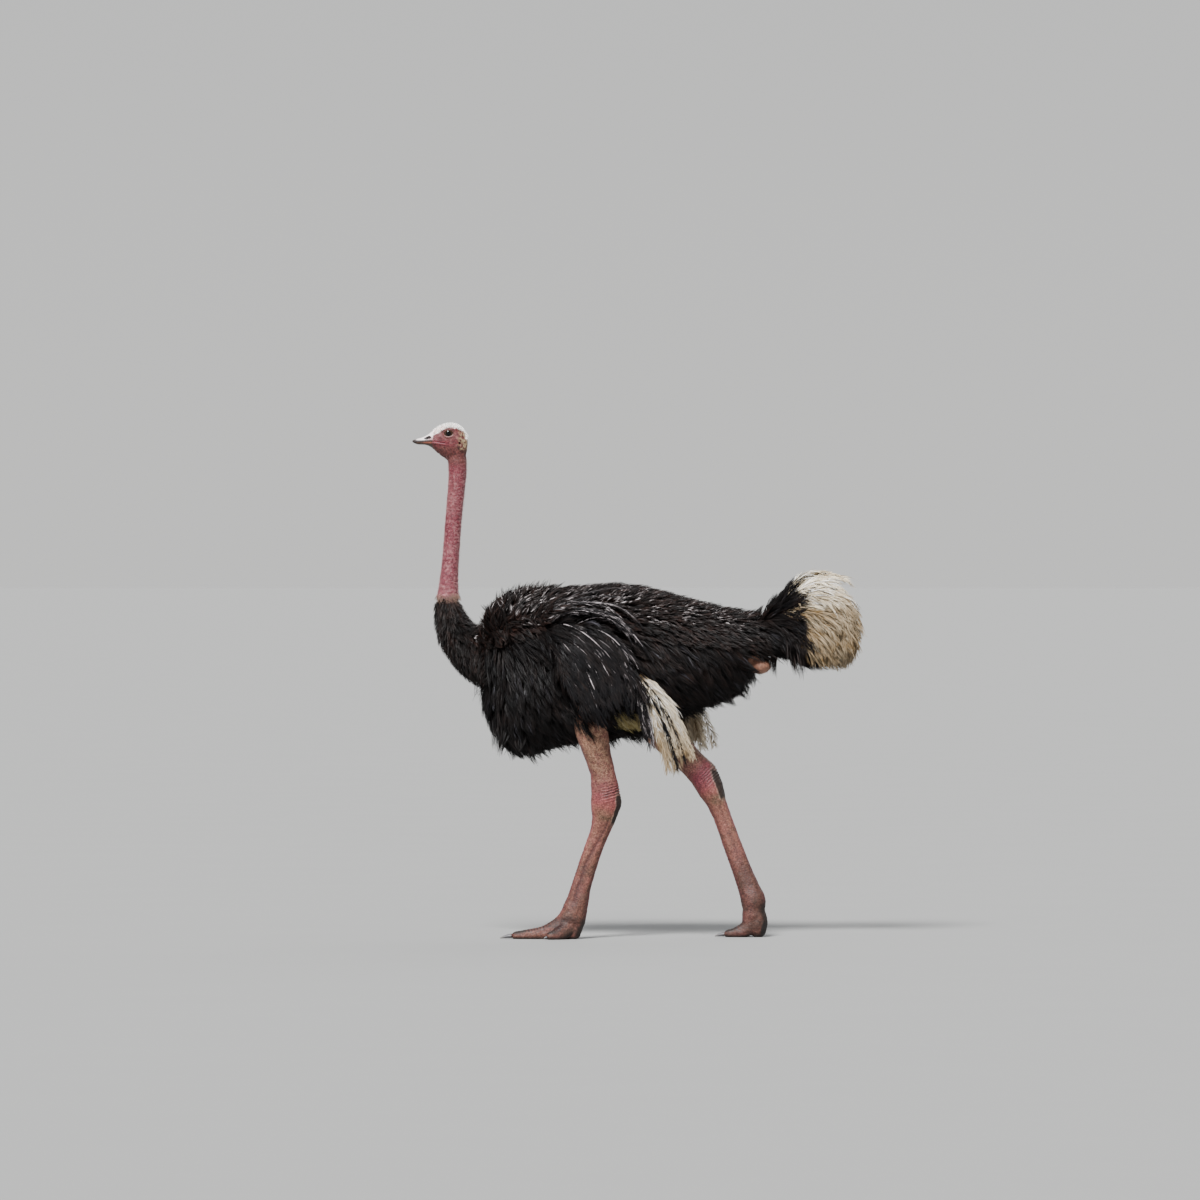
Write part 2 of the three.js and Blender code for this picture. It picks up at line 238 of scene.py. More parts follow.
@dataclass
class Field:
    """Distances to a surface on a regular grid, in metres, negative inside."""

    values: Array
    low: Array
    step: float

    @classmethod
    def of_nodes(
        cls,
        frame: dict[str, Any],
        names: Iterable[str],
        box: tuple[Sequence[float], Sequence[float]],
        step: float,
        reach: float,
    ) -> Field:
        """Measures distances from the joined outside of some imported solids.

        Args:
            frame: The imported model.
            names: The solids, whose thin gaps are closed.
            box: The low and high corner of the grid.
            step: The size of one cell.
            reach: How far from the surface distances are kept.

        Returns:
            The distances.
        """
        closing = 0.0006
        cells = openvdb.createLinearTransform(voxelSize=step)
        points, faces = joined_triangles(frame, names)
        make = openvdb.FloatGrid.createLevelSetFromPolygons
        rough = make(points, triangles=faces, transform=cells, halfWidth=3.0)
        shell, quads = rough.convertToQuads(isovalue=closing)
        exact = make(shell, quads=quads, transform=cells, halfWidth=max(3.0, reach / step))
        first = np.floor(np.array(box[0]) / step).astype(int)
        shape = np.ceil((np.array(box[1]) - box[0]) / step).astype(int) + 2
        values = np.zeros(tuple(shape), np.float32)
        exact.copyToArray(values, ijk=tuple(int(v) for v in first))
        return cls(values + np.float32(closing), first * step, step)

    def axes(self) -> tuple[Array, Array, Array]:
        """The grid's coordinates, shaped so that they spread over it.

        Returns:
            The places along x, y and z.
        """
        x, y, z = (
            (low + self.step * np.arange(count)).astype(np.float32)
            for low, count in zip(self.low, self.values.shape)
        )
        return x[:, None, None], y[None, :, None], z[None, None, :]

    def at(self, points: Array) -> Array:
        """Distances at points."""
        return trilinear(self.values, (points - self.low) / self.step)

    def outward(self, points: Array) -> Array:
        """Unit vectors straight away from the surface.

        Args:
            points: The places.

        Returns:
            A vector for each.
        """
        moves = np.eye(3) * self.step
        slopes = [self.at(points + move) - self.at(points - move) for move in moves]
        return unit(np.stack(slopes, axis=1))

    def softened(self, width: float) -> Field:
        """The same solid with its edges and facets smoothed away over a width.

        Args:
            width: How far the smoothing reaches, in metres.

        Returns:
            The softened solid.
        """
        sigma = width / self.step
        reach = int(2.6 * sigma) + 1
        weights = np.exp(-0.5 * (np.arange(-reach, reach + 1) / sigma) ** 2)
        weights = (weights / weights.sum()).astype(np.float32)
        values = self.values
        for axis in range(3):
            padding = [(reach, reach) if a == axis else (0, 0) for a in range(3)]
            padded = np.moveaxis(np.pad(values, padding, mode="edge"), axis, 0)
            count = values.shape[axis]
            total = sum(w * padded[i : i + count] for i, w in enumerate(weights))
            values = np.moveaxis(total, 0, axis)
        return Field(np.ascontiguousarray(values), self.low, self.step)

    def with_values(self, values: Array) -> Field:
        """A field on the same grid."""
        return Field(np.ascontiguousarray(values, np.float32), self.low, self.step)

    def ball(self, centre: Sequence[float], sizes: Sequence[float]) -> Array:
        """Rough distances to an ellipsoid over the grid."""
        scaled = [(axis - c) / s for axis, c, s in zip(self.axes(), centre, sizes)]
        return (np.sqrt(sum(part**2 for part in scaled)) - 1.0) * min(sizes)

    def rod(self, start: Sequence[float], end: Sequence[float], radii: tuple[float, float]) -> Array:
        """Distances to a tapered round rod over the grid.

        Args:
            start: The middle of one end.
            end: The middle of the other.
            radii: Their radii.

        Returns:
            The distances.
        """
        way = np.subtract(end, start)
        away = [axis - a for axis, a in zip(self.axes(), start)]
        share = np.clip(sum(part * w for part, w in zip(away, way)) / (way @ way), 0.0, 1.0)
        gaps = [part - share * w for part, w in zip(away, way)]
        return np.sqrt(sum(gap**2 for gap in gaps)) - (radii[0] + share * (radii[1] - radii[0]))

    def surface(self) -> tuple[Array, Array]:
        """The surface as points and outward four-sided faces.

        Returns:
            The points and the faces.
        """
        grid = openvdb.FloatGrid(float(self.values.max()))
        grid.copyFromArray(self.values)
        grid.transform = openvdb.createLinearTransform(voxelSize=self.step)
        grid.gridClass = openvdb.GridClass.LEVEL_SET
        points, quads = grid.convertToQuads(isovalue=0.0)
        return points + self.low, quads[:, ::-1].astype(np.int64)


def joined_triangles(frame: dict[str, Any], names: Iterable[str]) -> tuple[Array, Array]:
    """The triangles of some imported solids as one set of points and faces.

    Args:
        frame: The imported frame.
        names: The solids' names.

    Returns:
        The points and the faces.
    """
    points: list[Array] = []
    faces: list[Array] = []
    count = 0
    for name in names:
        mesh = frame["nodes"][name].data
        mesh.calc_loop_triangles()
        points.append(read(mesh.vertices, "co"))
        faces.append(read(mesh.loop_triangles, "vertices", np.int32) + count)
        count += len(mesh.vertices)
    return np.concatenate(points), np.concatenate(faces).astype(np.uint32)


def blended(first: Array, second: Array, width: float) -> Array:
    """The union of two solids' distances, with a fillet of about the given width."""
    share = np.clip(0.5 + 0.5 * (second - first) / width, 0.0, 1.0)
    return second + (first - second) * share - width * share * (1.0 - share)


# ---- Meshes ----


def pressed(y: Array) -> Array:
    """Sideways places eased towards the body, so that the wings keep to their breadth."""
    over = np.maximum(np.abs(y) - WING_REACH, 0.0)
    return np.sign(y) * (np.minimum(np.abs(y), WING_REACH) + 0.4 * over)


@dataclass
class Piece:
    """One mesh object, before it is built."""

    name: str
    points: Array
    faces: Array
    shares: dict[str, Array] = field(default_factory=dict)
    tint: Array | None = None
    unwrap: Array | None = None

    def build(self, finish: bpy.types.Material, slot: Slot, nodes: Sequence[str] = ()) -> None:
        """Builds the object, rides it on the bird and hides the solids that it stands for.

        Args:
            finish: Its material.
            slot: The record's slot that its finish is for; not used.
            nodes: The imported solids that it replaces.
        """
        dress(placed(self.name, self.mesh()), finish, nodes)

    def mesh(self) -> bpy.types.Mesh:
        """The piece's mesh.

        Returns:
            The mesh, with its shares, tint and unwrap.
        """
        mesh = bpy.data.meshes.new(self.name)
        corners = self.faces.shape[1]
        mesh.vertices.add(len(self.points))
        mesh.vertices.foreach_set("co", self.points.astype(np.float32).ravel())
        mesh.loops.add(self.faces.size)
        mesh.loops.foreach_set("vertex_index", self.faces.astype(np.int32).ravel())
        mesh.polygons.add(len(self.faces))
        mesh.polygons.foreach_set("loop_start", np.arange(0, self.faces.size, corners))
        mesh.polygons.foreach_set("use_smooth", np.ones(len(self.faces), bool))
        mesh.update(calc_edges=True)
        self.write(mesh)
        return mesh

    def write(self, mesh: bpy.types.Mesh) -> None:
        """Writes the shares, the tint and the unwrap into a mesh of the same points.

        Args:
            mesh: The mesh that is written into.
        """
        for name, values in self.shares.items():
            layer = mesh.attributes.new(name, "FLOAT", "POINT")
            layer.data.foreach_set("value", values.astype(np.float32).ravel())
        if self.tint is not None:
            layer = mesh.attributes.new("tint", "FLOAT_COLOR", "POINT")
            opaque = np.ones((len(self.tint), 1))
            colours = np.hstack([np.clip(self.tint, 0.0, 1.0), opaque])
            layer.data.foreach_set("color", colours.astype(np.float32).ravel())
        if self.unwrap is not None:
            layer = mesh.uv_layers.new(name="OFBake")
            places = self.unwrap[self.faces.ravel()]
            layer.data.foreach_set("uv", places.astype(np.float32).ravel())


def placed(name: str, data: Any) -> Any:
    """A new object in the scene.

    Args:
        name: The object's name.
        data: Its mesh, lamp or camera.

    Returns:
        The object.
    """
    thing = bpy.data.objects.new(name, data)
    bpy.context.scene.collection.objects.link(thing)
    return thing


def read(items: Any, name: str, kind: type = np.float32) -> Array:
    """A property of a mesh's points or triangles, three values to a row.

    Args:
        items: The mesh's points or triangles.
        name: The property.
        kind: The type of its values.

    Returns:
        The values.
    """
    flat = np.empty(len(items) * 3, kind)
    items.foreach_get(name, flat)
    return flat.reshape(-1, 3)


def dress(thing: Any, finish: bpy.types.Material, nodes: Sequence[str] = ()) -> None:
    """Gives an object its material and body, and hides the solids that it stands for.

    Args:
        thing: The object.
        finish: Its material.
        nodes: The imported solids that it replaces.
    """
    thing.data.materials.clear()
    thing.data.materials.append(finish)
    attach(thing, "root")
    if nodes:
        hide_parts(*nodes)
    LOG.info("%s: %d faces", thing.name, len(thing.data.polygons))


# ---- Materials ----


@dataclass
class Sock:
    """A shader socket that takes part in arithmetic."""

    nodes: Nodes
    socket: Any

    def _math(self, operation: str, first: Any, second: Any) -> Sock:
        """Adds one Math node."""
        settings = {"operation": operation}
        return self.nodes.node("ShaderNodeMath", settings, {0: first, 1: second})

    def __add__(self, other: Any) -> Sock:
        """Sum."""
        return self._math("ADD", self, other)

    def __rsub__(self, other: Any) -> Sock:
        """Difference from a number."""
        return self._math("SUBTRACT", other, self)

    def __mul__(self, other: Any) -> Sock:
        """Product."""
        return self._math("MULTIPLY", self, other)

    __radd__ = __add__
    __rmul__ = __mul__


class Nodes:
    """The nodes of a material or of the world."""

    def __init__(self, owner: Any) -> None:
        """Starts with no nodes.

        Args:
            owner: The material or the world.
        """
        owner.use_nodes = True
        self.tree = owner.node_tree
        self.tree.nodes.clear()

    def put(self, node: Any, inputs: dict[Any, Any]) -> None:
        """Sets or links a node's sockets.

        Args:
            node: The node.
            inputs: The sockets' values or links.
        """
        for key, value in inputs.items():
            if isinstance(value, Sock):
                self.tree.links.new(value.socket, node.inputs[key])
            elif isinstance(value, tuple) and len(value) == 3 and node.inputs[key].type == "RGBA":
                node.inputs[key].default_value = (*value, 1.0)
            else:
                node.inputs[key].default_value = value

    def node(
        self,
        kind: str,
        settings: dict[str, Any] | None = None,
        inputs: dict[Any, Any] | None = None,
        output: Any = 0,
    ) -> Sock:
        """Adds a node.

        Args:
            kind: The node's type.
            settings: Its own settings, set first.
            inputs: The values or links of its sockets.
            output: The socket that is handed back.

        Returns:
            That socket.
        """
        made = self.tree.nodes.new(kind)
        for key, value in (settings or {}).items():
            setattr(made, key, value)
        self.put(made, inputs or {})
        return Sock(self, made.outputs[output] if len(made.outputs) else None)

    def mix(self, share: Any, first: Any, second: Any, blend: str = "MIX") -> Sock:
        """Mixes two colours."""
        settings = {"data_type": "RGBA", "blend_type": blend, "clamp_factor": True}
        return self.node("ShaderNodeMix", settings, {0: share, 6: first, 7: second}, output=2)

    def span(self, value: Sock, low: float, high: float, start: float, end: float) -> Sock:
        """Maps a value's range to another, clamped."""
        inputs = {"Value": value, 1: low, 2: high, 3: start, 4: end}
        return self.node("ShaderNodeMapRange", {"clamp": True}, inputs)


class Shader(Nodes):
    """A material under construction."""

    def __init__(self, name: str) -> None:
        """Starts a material with one surface shader.

        Args:
            name: The material's name.
        """
        self.material = bpy.data.materials.new(name)
        super().__init__(self.material)
        self.surface = self.node("ShaderNodeBsdfPrincipled")
        self.node("ShaderNodeOutputMaterial", {}, {0: self.surface})

    def share(self, name: str) -> Sock:
        """A number stored on the mesh."""
        return self.node("ShaderNodeAttribute", {"attribute_name": name}, output="Fac")

    def tint(self) -> Sock:
        """The colour stored on the mesh."""
        return self.node("ShaderNodeAttribute", {"attribute_name": "tint"}, output="Color")

    def place(self) -> Sock:
        """The point on the object, in metres."""
        return self.node("ShaderNodeTexCoord", output="Object")

    def noise(self, size: float, detail: float = 2.0, stretch: tuple = (1.0, 1.0, 1.0)) -> Sock:
        """Noise between 0 and 1 with blotches of a size in metres.

        Args:
            size: The blotches' size.
            detail: How much finer it goes.
            stretch: How much the place is scaled along each axis.

        Returns:
            The noise.
        """
        scaled = self.node("ShaderNodeMapping", {}, {"Vector": self.place(), "Scale": stretch})
        inputs = {"Vector": scaled, "Scale": 1.0 / size, "Detail": detail}
        return self.node("ShaderNodeTexNoise", {}, inputs)

    def relief(self, height: Sock, depth: float, strength: float = 1.0) -> Sock:
        """A bumped normal from a height between 0 and 1, over a depth in metres."""
        inputs = {"Height": height, "Distance": depth, "Strength": strength}
        return self.node("ShaderNodeBump", {}, inputs)

    def finish(self, **inputs: Any) -> bpy.types.Material:
        """Sets the surface's sockets and hands back the material."""
        sockets = {key.replace("_", " "): value for key, value in inputs.items()}
        self.put(self.surface.socket.node, sockets)
        return self.material


@dataclass(frozen=True)
class SkinFinish:
    """Dry bird skin: the stored tint with pores, pimples and folds."""

    pimple: float = 0.0042
    fold: float = 0.011

    def material(self) -> bpy.types.Material:
        """Builds the material.

        Returns:
            The material.
        """
        shader = Shader("skin")
        rough = shader.share("rough")
        mottle = shader.span(shader.noise(0.013, 4.0), 0.38, 0.66, 0.0, 1.0)
        fine = shader.span(shader.noise(0.006, 3.0), 0.36, 0.64, 0.0, 1.0)
        dim = shader.mix(mottle * (0.25 + 0.45 * rough), shader.tint(), (0.52, 0.4, 0.4), "MULTIPLY")
        pale = shader.mix(fine * 0.5, dim, (1.0, 0.93, 0.88), "SOFT_LIGHT")
        colour = shader.mix(fine * 0.7, pale, (1.5, 1.5, 1.45), "MULTIPLY")
        settings = {"feature": "SMOOTH_F1"}
        inputs = {"Vector": shader.place(), "Scale": 1.0 / self.pimple, "Smoothness": 0.4}
        pimples = 1.0 - shader.node("ShaderNodeTexVoronoi", settings, inputs, output="Distance")
        # Darker in the low net between the pimples.
        speck = shader.mix(
            shader.span(pimples, 0.35, 0.75, 0.75, 0.0) * rough, colour, (0.4, 0.27, 0.27), "MULTIPLY"
        )
        folds = shader.noise(self.fold, 3.0, (1.0, 1.0, 2.6))
        height = pimples * (0.25 + 0.75 * rough) + folds * 0.8 + fine * 0.25
        normal = shader.relief(height, 0.0011, 0.8)
        return shader.finish(
            Base_Color=speck,
            Roughness=shader.span(fine, 0.0, 1.0, 0.5, 0.66),
            Normal=normal,
            Specular_IOR_Level=0.3,
            Subsurface_Weight=0.04,
            Subsurface_Radius=(0.008, 0.003, 0.002),
        )


@dataclass(frozen=True)
class PlumeFinish:
    """Loose plumes: dark at the root, partly their own base and partly painted shade under the plumes above
    them, worn browner in patches, with painted highlights along some strands.
    """

    name: str
    # deep: the root colour, partly the plume's own darker base and partly painted shade where roots lie under
    # other plumes
    deep: tuple[float, float, float]
    main: tuple[float, float, float]
    worn: tuple[float, float, float]
    # glint: the colour of the painted highlight on strands
    glint: tuple[float, float, float]
    # band: where along a strand the painted highlight lies, rising from the first to the second share and
    # falling from the third to the fourth
    band: tuple[float, float, float, float] = (0.25, 0.6, 0.8, 1.0)
    roughness: float = 0.5
    gloss: float = 0.3
    even: float = 0.15  # the least share of the worn colour on a worn plume
    # depth: a tone that differs at random, which also stands in as painted shade between strands
    depth: float = 0.65  # how much darker the dark strands are

    def material(self) -> bpy.types.Material:
        """Builds the material.

        Returns:
            The material.
        """
        shader = Shader(self.name)
        tip, tone = shader.share("tip"), shader.share("tone")
        streak, worn = shader.share("streak"), shader.share("worn")
        start, full, fall, end = self.band
        patchy = shader.span(shader.noise(0.06, 3.0), 0.35, 0.65, self.even, 1.0)
        # Darker towards the root: partly the plume's own base, partly painted shade under the plumes above.
        body = shader.mix(shader.span(tip, 0.0, 0.5, 0.0, 1.0), self.deep, self.main)
        fit = shader.span(tone, 0.2, 0.8, self.even, 1.0)
        brown = shader.mix(worn * patchy * fit, body, self.worn)
        band = shader.span(tip, start, full, 0.0, 1.0) * shader.span(tip, fall, end, 1.0, 0.0)
        # Painted highlight: strands with a high glint share take the glint colour inside the band.
        colour = shader.mix(shader.span(streak, 0.6, 0.95, 0.0, 1.0) * band, brown, self.glint)
        # Painted shade: strands of low tone are darkened, standing in for the shade between strands.
        shade = shader.mix((1.0 - tone) * self.depth, colour, (0.15, 0.13, 0.12), "MULTIPLY")
        return shader.finish(
            Base_Color=shade,
            Roughness=shader.span(streak, 0.0, 1.0, self.roughness + 0.12, self.roughness - 0.1),
            Specular_IOR_Level=self.gloss,
        )


@dataclass(frozen=True)
class DownFinish:
    """Fine hairs that carry their own stored tint."""

    name: str = "down"

    def material(self) -> bpy.types.Material:
        """Builds the material.

        Returns:
            The material.
        """
        shader = Shader(self.name)
        fade = shader.span(shader.share("tone"), 0.0, 1.0, 0.0, 0.25)
        colour = shader.mix(fade, shader.tint(), (0.6, 0.55, 0.5), "MULTIPLY")
        return shader.finish(
            Base_Color=colour, Roughness=shader.span(fade, 0.0, 0.25, 0.75, 0.6), Sheen_Weight=0.2
        )


@dataclass(frozen=True)
class HornFinish:
    """Satin horn with growth lines; the tint is stored on the mesh."""

    name: str
    roughness: float
    line: float = 0.0011

    def material(self) -> bpy.types.Material:
        """Builds the material.

        Returns:
            The material.
        """
        shader = Shader(self.name)
        lines = shader.noise(self.line, 3.0, (0.22, 1.0, 1.0))
        cloud = shader.span(shader.noise(0.009, 3.0), 0.3, 0.7, 0.0, 1.0)
        colour = shader.mix(cloud * 0.35, shader.tint(), (0.62, 0.55, 0.5), "MULTIPLY")
        return shader.finish(
            Base_Color=colour,
            Roughness=shader.span(lines, 0.3, 0.7, self.roughness - 0.08, self.roughness + 0.1),
            Normal=shader.relief(lines, 0.0002, 0.5),
        )


@dataclass(frozen=True)
class EyeFinish:
    """A wet dark brown eye: black pupil, brown iris with fine rays, dark rim."""

    pupil: float = 0.42
    iris: float = 0.86

    def material(self) -> bpy.types.Material:
        """Builds the material.

        Returns:
            The material.
        """
        shader = Shader("eyeball")
        angle, turn = shader.share("angle"), shader.share("turn")
        rays = shader.node("ShaderNodeTexNoise", {}, {"Vector": turn * 40.0, "Scale": 3.0})
        brown = shader.mix(shader.span(rays, 0.3, 0.7, 0.0, 1.0), (0.016, 0.007, 0.004), (0.04, 0.018, 0.009))
        iris = shader.mix(
            shader.span(angle, self.pupil, self.pupil + 0.05, 0.0, 1.0), (0.002, 0.002, 0.002), brown
        )
        colour = shader.mix(
            shader.span(angle, self.iris - 0.1, self.iris, 0.0, 1.0), iris, (0.012, 0.007, 0.005)
        )
        return shader.finish(
            Base_Color=colour,
            Roughness=shader.span(rays, 0.0, 1.0, 0.05, 0.09),
            Specular_IOR_Level=0.2,
        )


@dataclass(frozen=True)
class FloorFinish:
    """A plain pale floor, barely mottled."""

    colour: tuple[float, float, float] = (0.235, 0.235, 0.23)

    def material(self) -> bpy.types.Material:
        """Builds the material.

        Returns:
            The material.
        """
        shader = Shader("floor")
        cloud = shader.span(shader.noise(0.6, 3.0), 0.3, 0.7, 0.0, 0.06)
        return shader.finish(
            Base_Color=shader.mix(cloud, self.colour, (0.205, 0.205, 0.2)),
            Roughness=shader.span(cloud, 0.0, 0.06, 0.85, 0.9),
        )


# ---- The skin ----


@dataclass(frozen=True)
class Palette:
    """Colours of the bare and hidden skin."""

    rose: tuple = (0.092, 0.0122, 0.021)
    rose_low: tuple = (0.118, 0.027, 0.039)
    face: tuple = (0.085, 0.019, 0.022)
    gape: tuple = (0.1, 0.014, 0.024)
    crown: tuple = (0.88, 0.8, 0.77)
    ochre: tuple = (0.33, 0.26, 0.15)
    throat: tuple = (0.066, 0.022, 0.019)
    umber: tuple = (0.014, 0.005, 0.005)
    thigh: tuple = (0.175, 0.106, 0.071)
    shank: tuple = (0.146, 0.066, 0.049)
    pad: tuple = (0.012, 0.0075, 0.0055)
    hidden: tuple = (0.008, 0.006, 0.0055)
    # under_tail: the tan of the white plumes, darkened as painted shade under them
    under_tail: tuple = (0.06, 0.038, 0.02)
    vent: tuple = (0.2, 0.1, 0.068)


@dataclass(frozen=True)
class Leg:
    """Where one leg and its toes run."""

    side: Side
    knee: tuple[float, float, float]
    hock: tuple[float, float, float]
    ball: tuple[float, float, float]
    middle: tuple[tuple[float, float, float], ...]
    outer: tuple[tuple[float, float, float], ...]
    fills: tuple[tuple, ...] = ()  # start, end and radii of what rounds the joints
    callus: tuple[float, float] = (0.028, 0.048)  # middle and half length, past the hock
    callus_rim: tuple[float, float] = (-0.38, -0.7)
    flushed: float = 0.5
    weathered: float = 0.4  # how much darker the shank gets towards the foot
    fine_below: float = 0.112  # height under which the foot keeps its finer forms

    @property
    def names(self) -> list[str]:
        """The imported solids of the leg's flesh."""
        kinds = ("drumstick", "shank", "heel", "toe_middle", "toe_outer")
        return [f"{kind}_{self.side.word}" for kind in kinds]


LEGS = (
    Leg(
        Side.LEFT,
        (-0.258, -0.152, 1.095),
        (-0.140, -0.112, 0.566),
        (-0.284, -0.080, 0.092),
        ((-0.292, -0.080, 0.058), (-0.372, -0.078, 0.025), (-0.524, -0.075, 0.012)),
        ((-0.292, -0.092, 0.050), (-0.335, -0.122, 0.020), (-0.378, -0.143, 0.011)),
        (
            ((-0.176, -0.112, 0.655), (-0.176, -0.111, 0.545), (0.028, 0.028)),
            ((-0.152, -0.112, 0.61), (-0.148, -0.112, 0.575), (0.036, 0.036)),
            ((-0.322, -0.080, 0.084), (-0.385, -0.078, 0.037), (0.024, 0.017)),
            ((-0.250, -0.081, 0.17), (-0.263, -0.080, 0.07), (0.030, 0.030)),
            ((-0.286, -0.080, 0.125), (-0.300, -0.080, 0.08), (0.032, 0.034)),
        ),
    ),
    Leg(
        Side.RIGHT,
        (-0.061, 0.152, 1.030),
        (0.298, 0.116, 0.622),
        (0.478, 0.080, 0.148),
        ((0.474, 0.080, 0.094), (0.456, 0.079, 0.038), (0.410, 0.078, 0.017), (0.366, 0.077, 0.012)),
        ((0.474, 0.092, 0.080), (0.456, 0.114, 0.030), (0.418, 0.136, 0.011)),
        (
            ((0.452, 0.081, 0.175), (0.467, 0.080, 0.09), (0.028, 0.028)),
            ((0.486, 0.081, 0.17), (0.488, 0.080, 0.10), (0.029, 0.028)),
            ((0.466, 0.081, 0.165), (0.474, 0.080, 0.09), (0.033, 0.032)),
        ),
        callus=(-0.004, 0.055),
        callus_rim=(-0.12, -0.55),
        flushed=0.85,
        weathered=0.62,
        fine_below=0.12,
    ),
)
NECK_WAY = Way.upright(
    (-0.94, 2.075), (-0.86, 2.09), (-0.79, 2.088), (-0.768, 2.04), (-0.763, 1.975),
    (-0.768, 1.89), (-0.782, 1.745), (-0.793, 1.588), (-0.802, 1.455), (-0.802, 1.368),
    (-0.776, 1.285), (-0.730, 1.222), (-0.668, 1.19), (-0.5, 1.19), (0.4, 1.22),
    (0.62, 1.31), (0.94, 1.33),
)
MOLES = (  # dark spots of the face: place, size and how dark
    ((-0.7583, 0.04, 2.0472), 0.0058, 0.95),
    ((-0.7505, 0.04, 2.035), 0.0045, 0.9),
    ((-0.7437, 0.04, 2.1005), 0.0048, 0.85),
    ((-0.7728, 0.04, 2.0231), 0.0034, 0.9),
    ((-0.8327, 0.03, 2.0407), 0.0032, 0.8),
    ((-0.8615, 0.03, 2.1102), 0.0036, 0.95),
    ((-0.8327, 0.03, 2.1393), 0.0042, 0.5),
    ((-0.7345, 0.03, 2.071), 0.0036, 0.8),
    ((-0.7415, 0.04, 2.0565), 0.003, 0.7),
    ((-0.7560, 0.04, 2.0905), 0.0034, 0.6),
)
COAT_NODES = ("trunk", "tail_base", "tail_plumes", "neck_lower", "wing_left", "wing_right")
COAT_BOX = ((-0.90, -0.38, 0.70), (1.0, 0.38, 1.58))
COAT_STEP = 0.008  # cell of the grid that the coat is measured on
VENT = (0.5, 0.0, 1.142)
GAPE = 2.0745  # height of the bill's gape
WING_REACH = 0.3  # half the breadth past which the wings' plumes are pressed close
NECK_FRINGE = 1.422  # height where the pink neck goes under the plumes
WING_EDGE = Way.upright(
    (-0.44, 1.32), (-0.37, 1.365), (-0.28, 1.405), (-0.2, 1.385), (-0.137, 1.355),
    (-0.093, 1.32), (-0.05, 1.25), (-0.035, 1.18), (-0.02, 1.11),
)


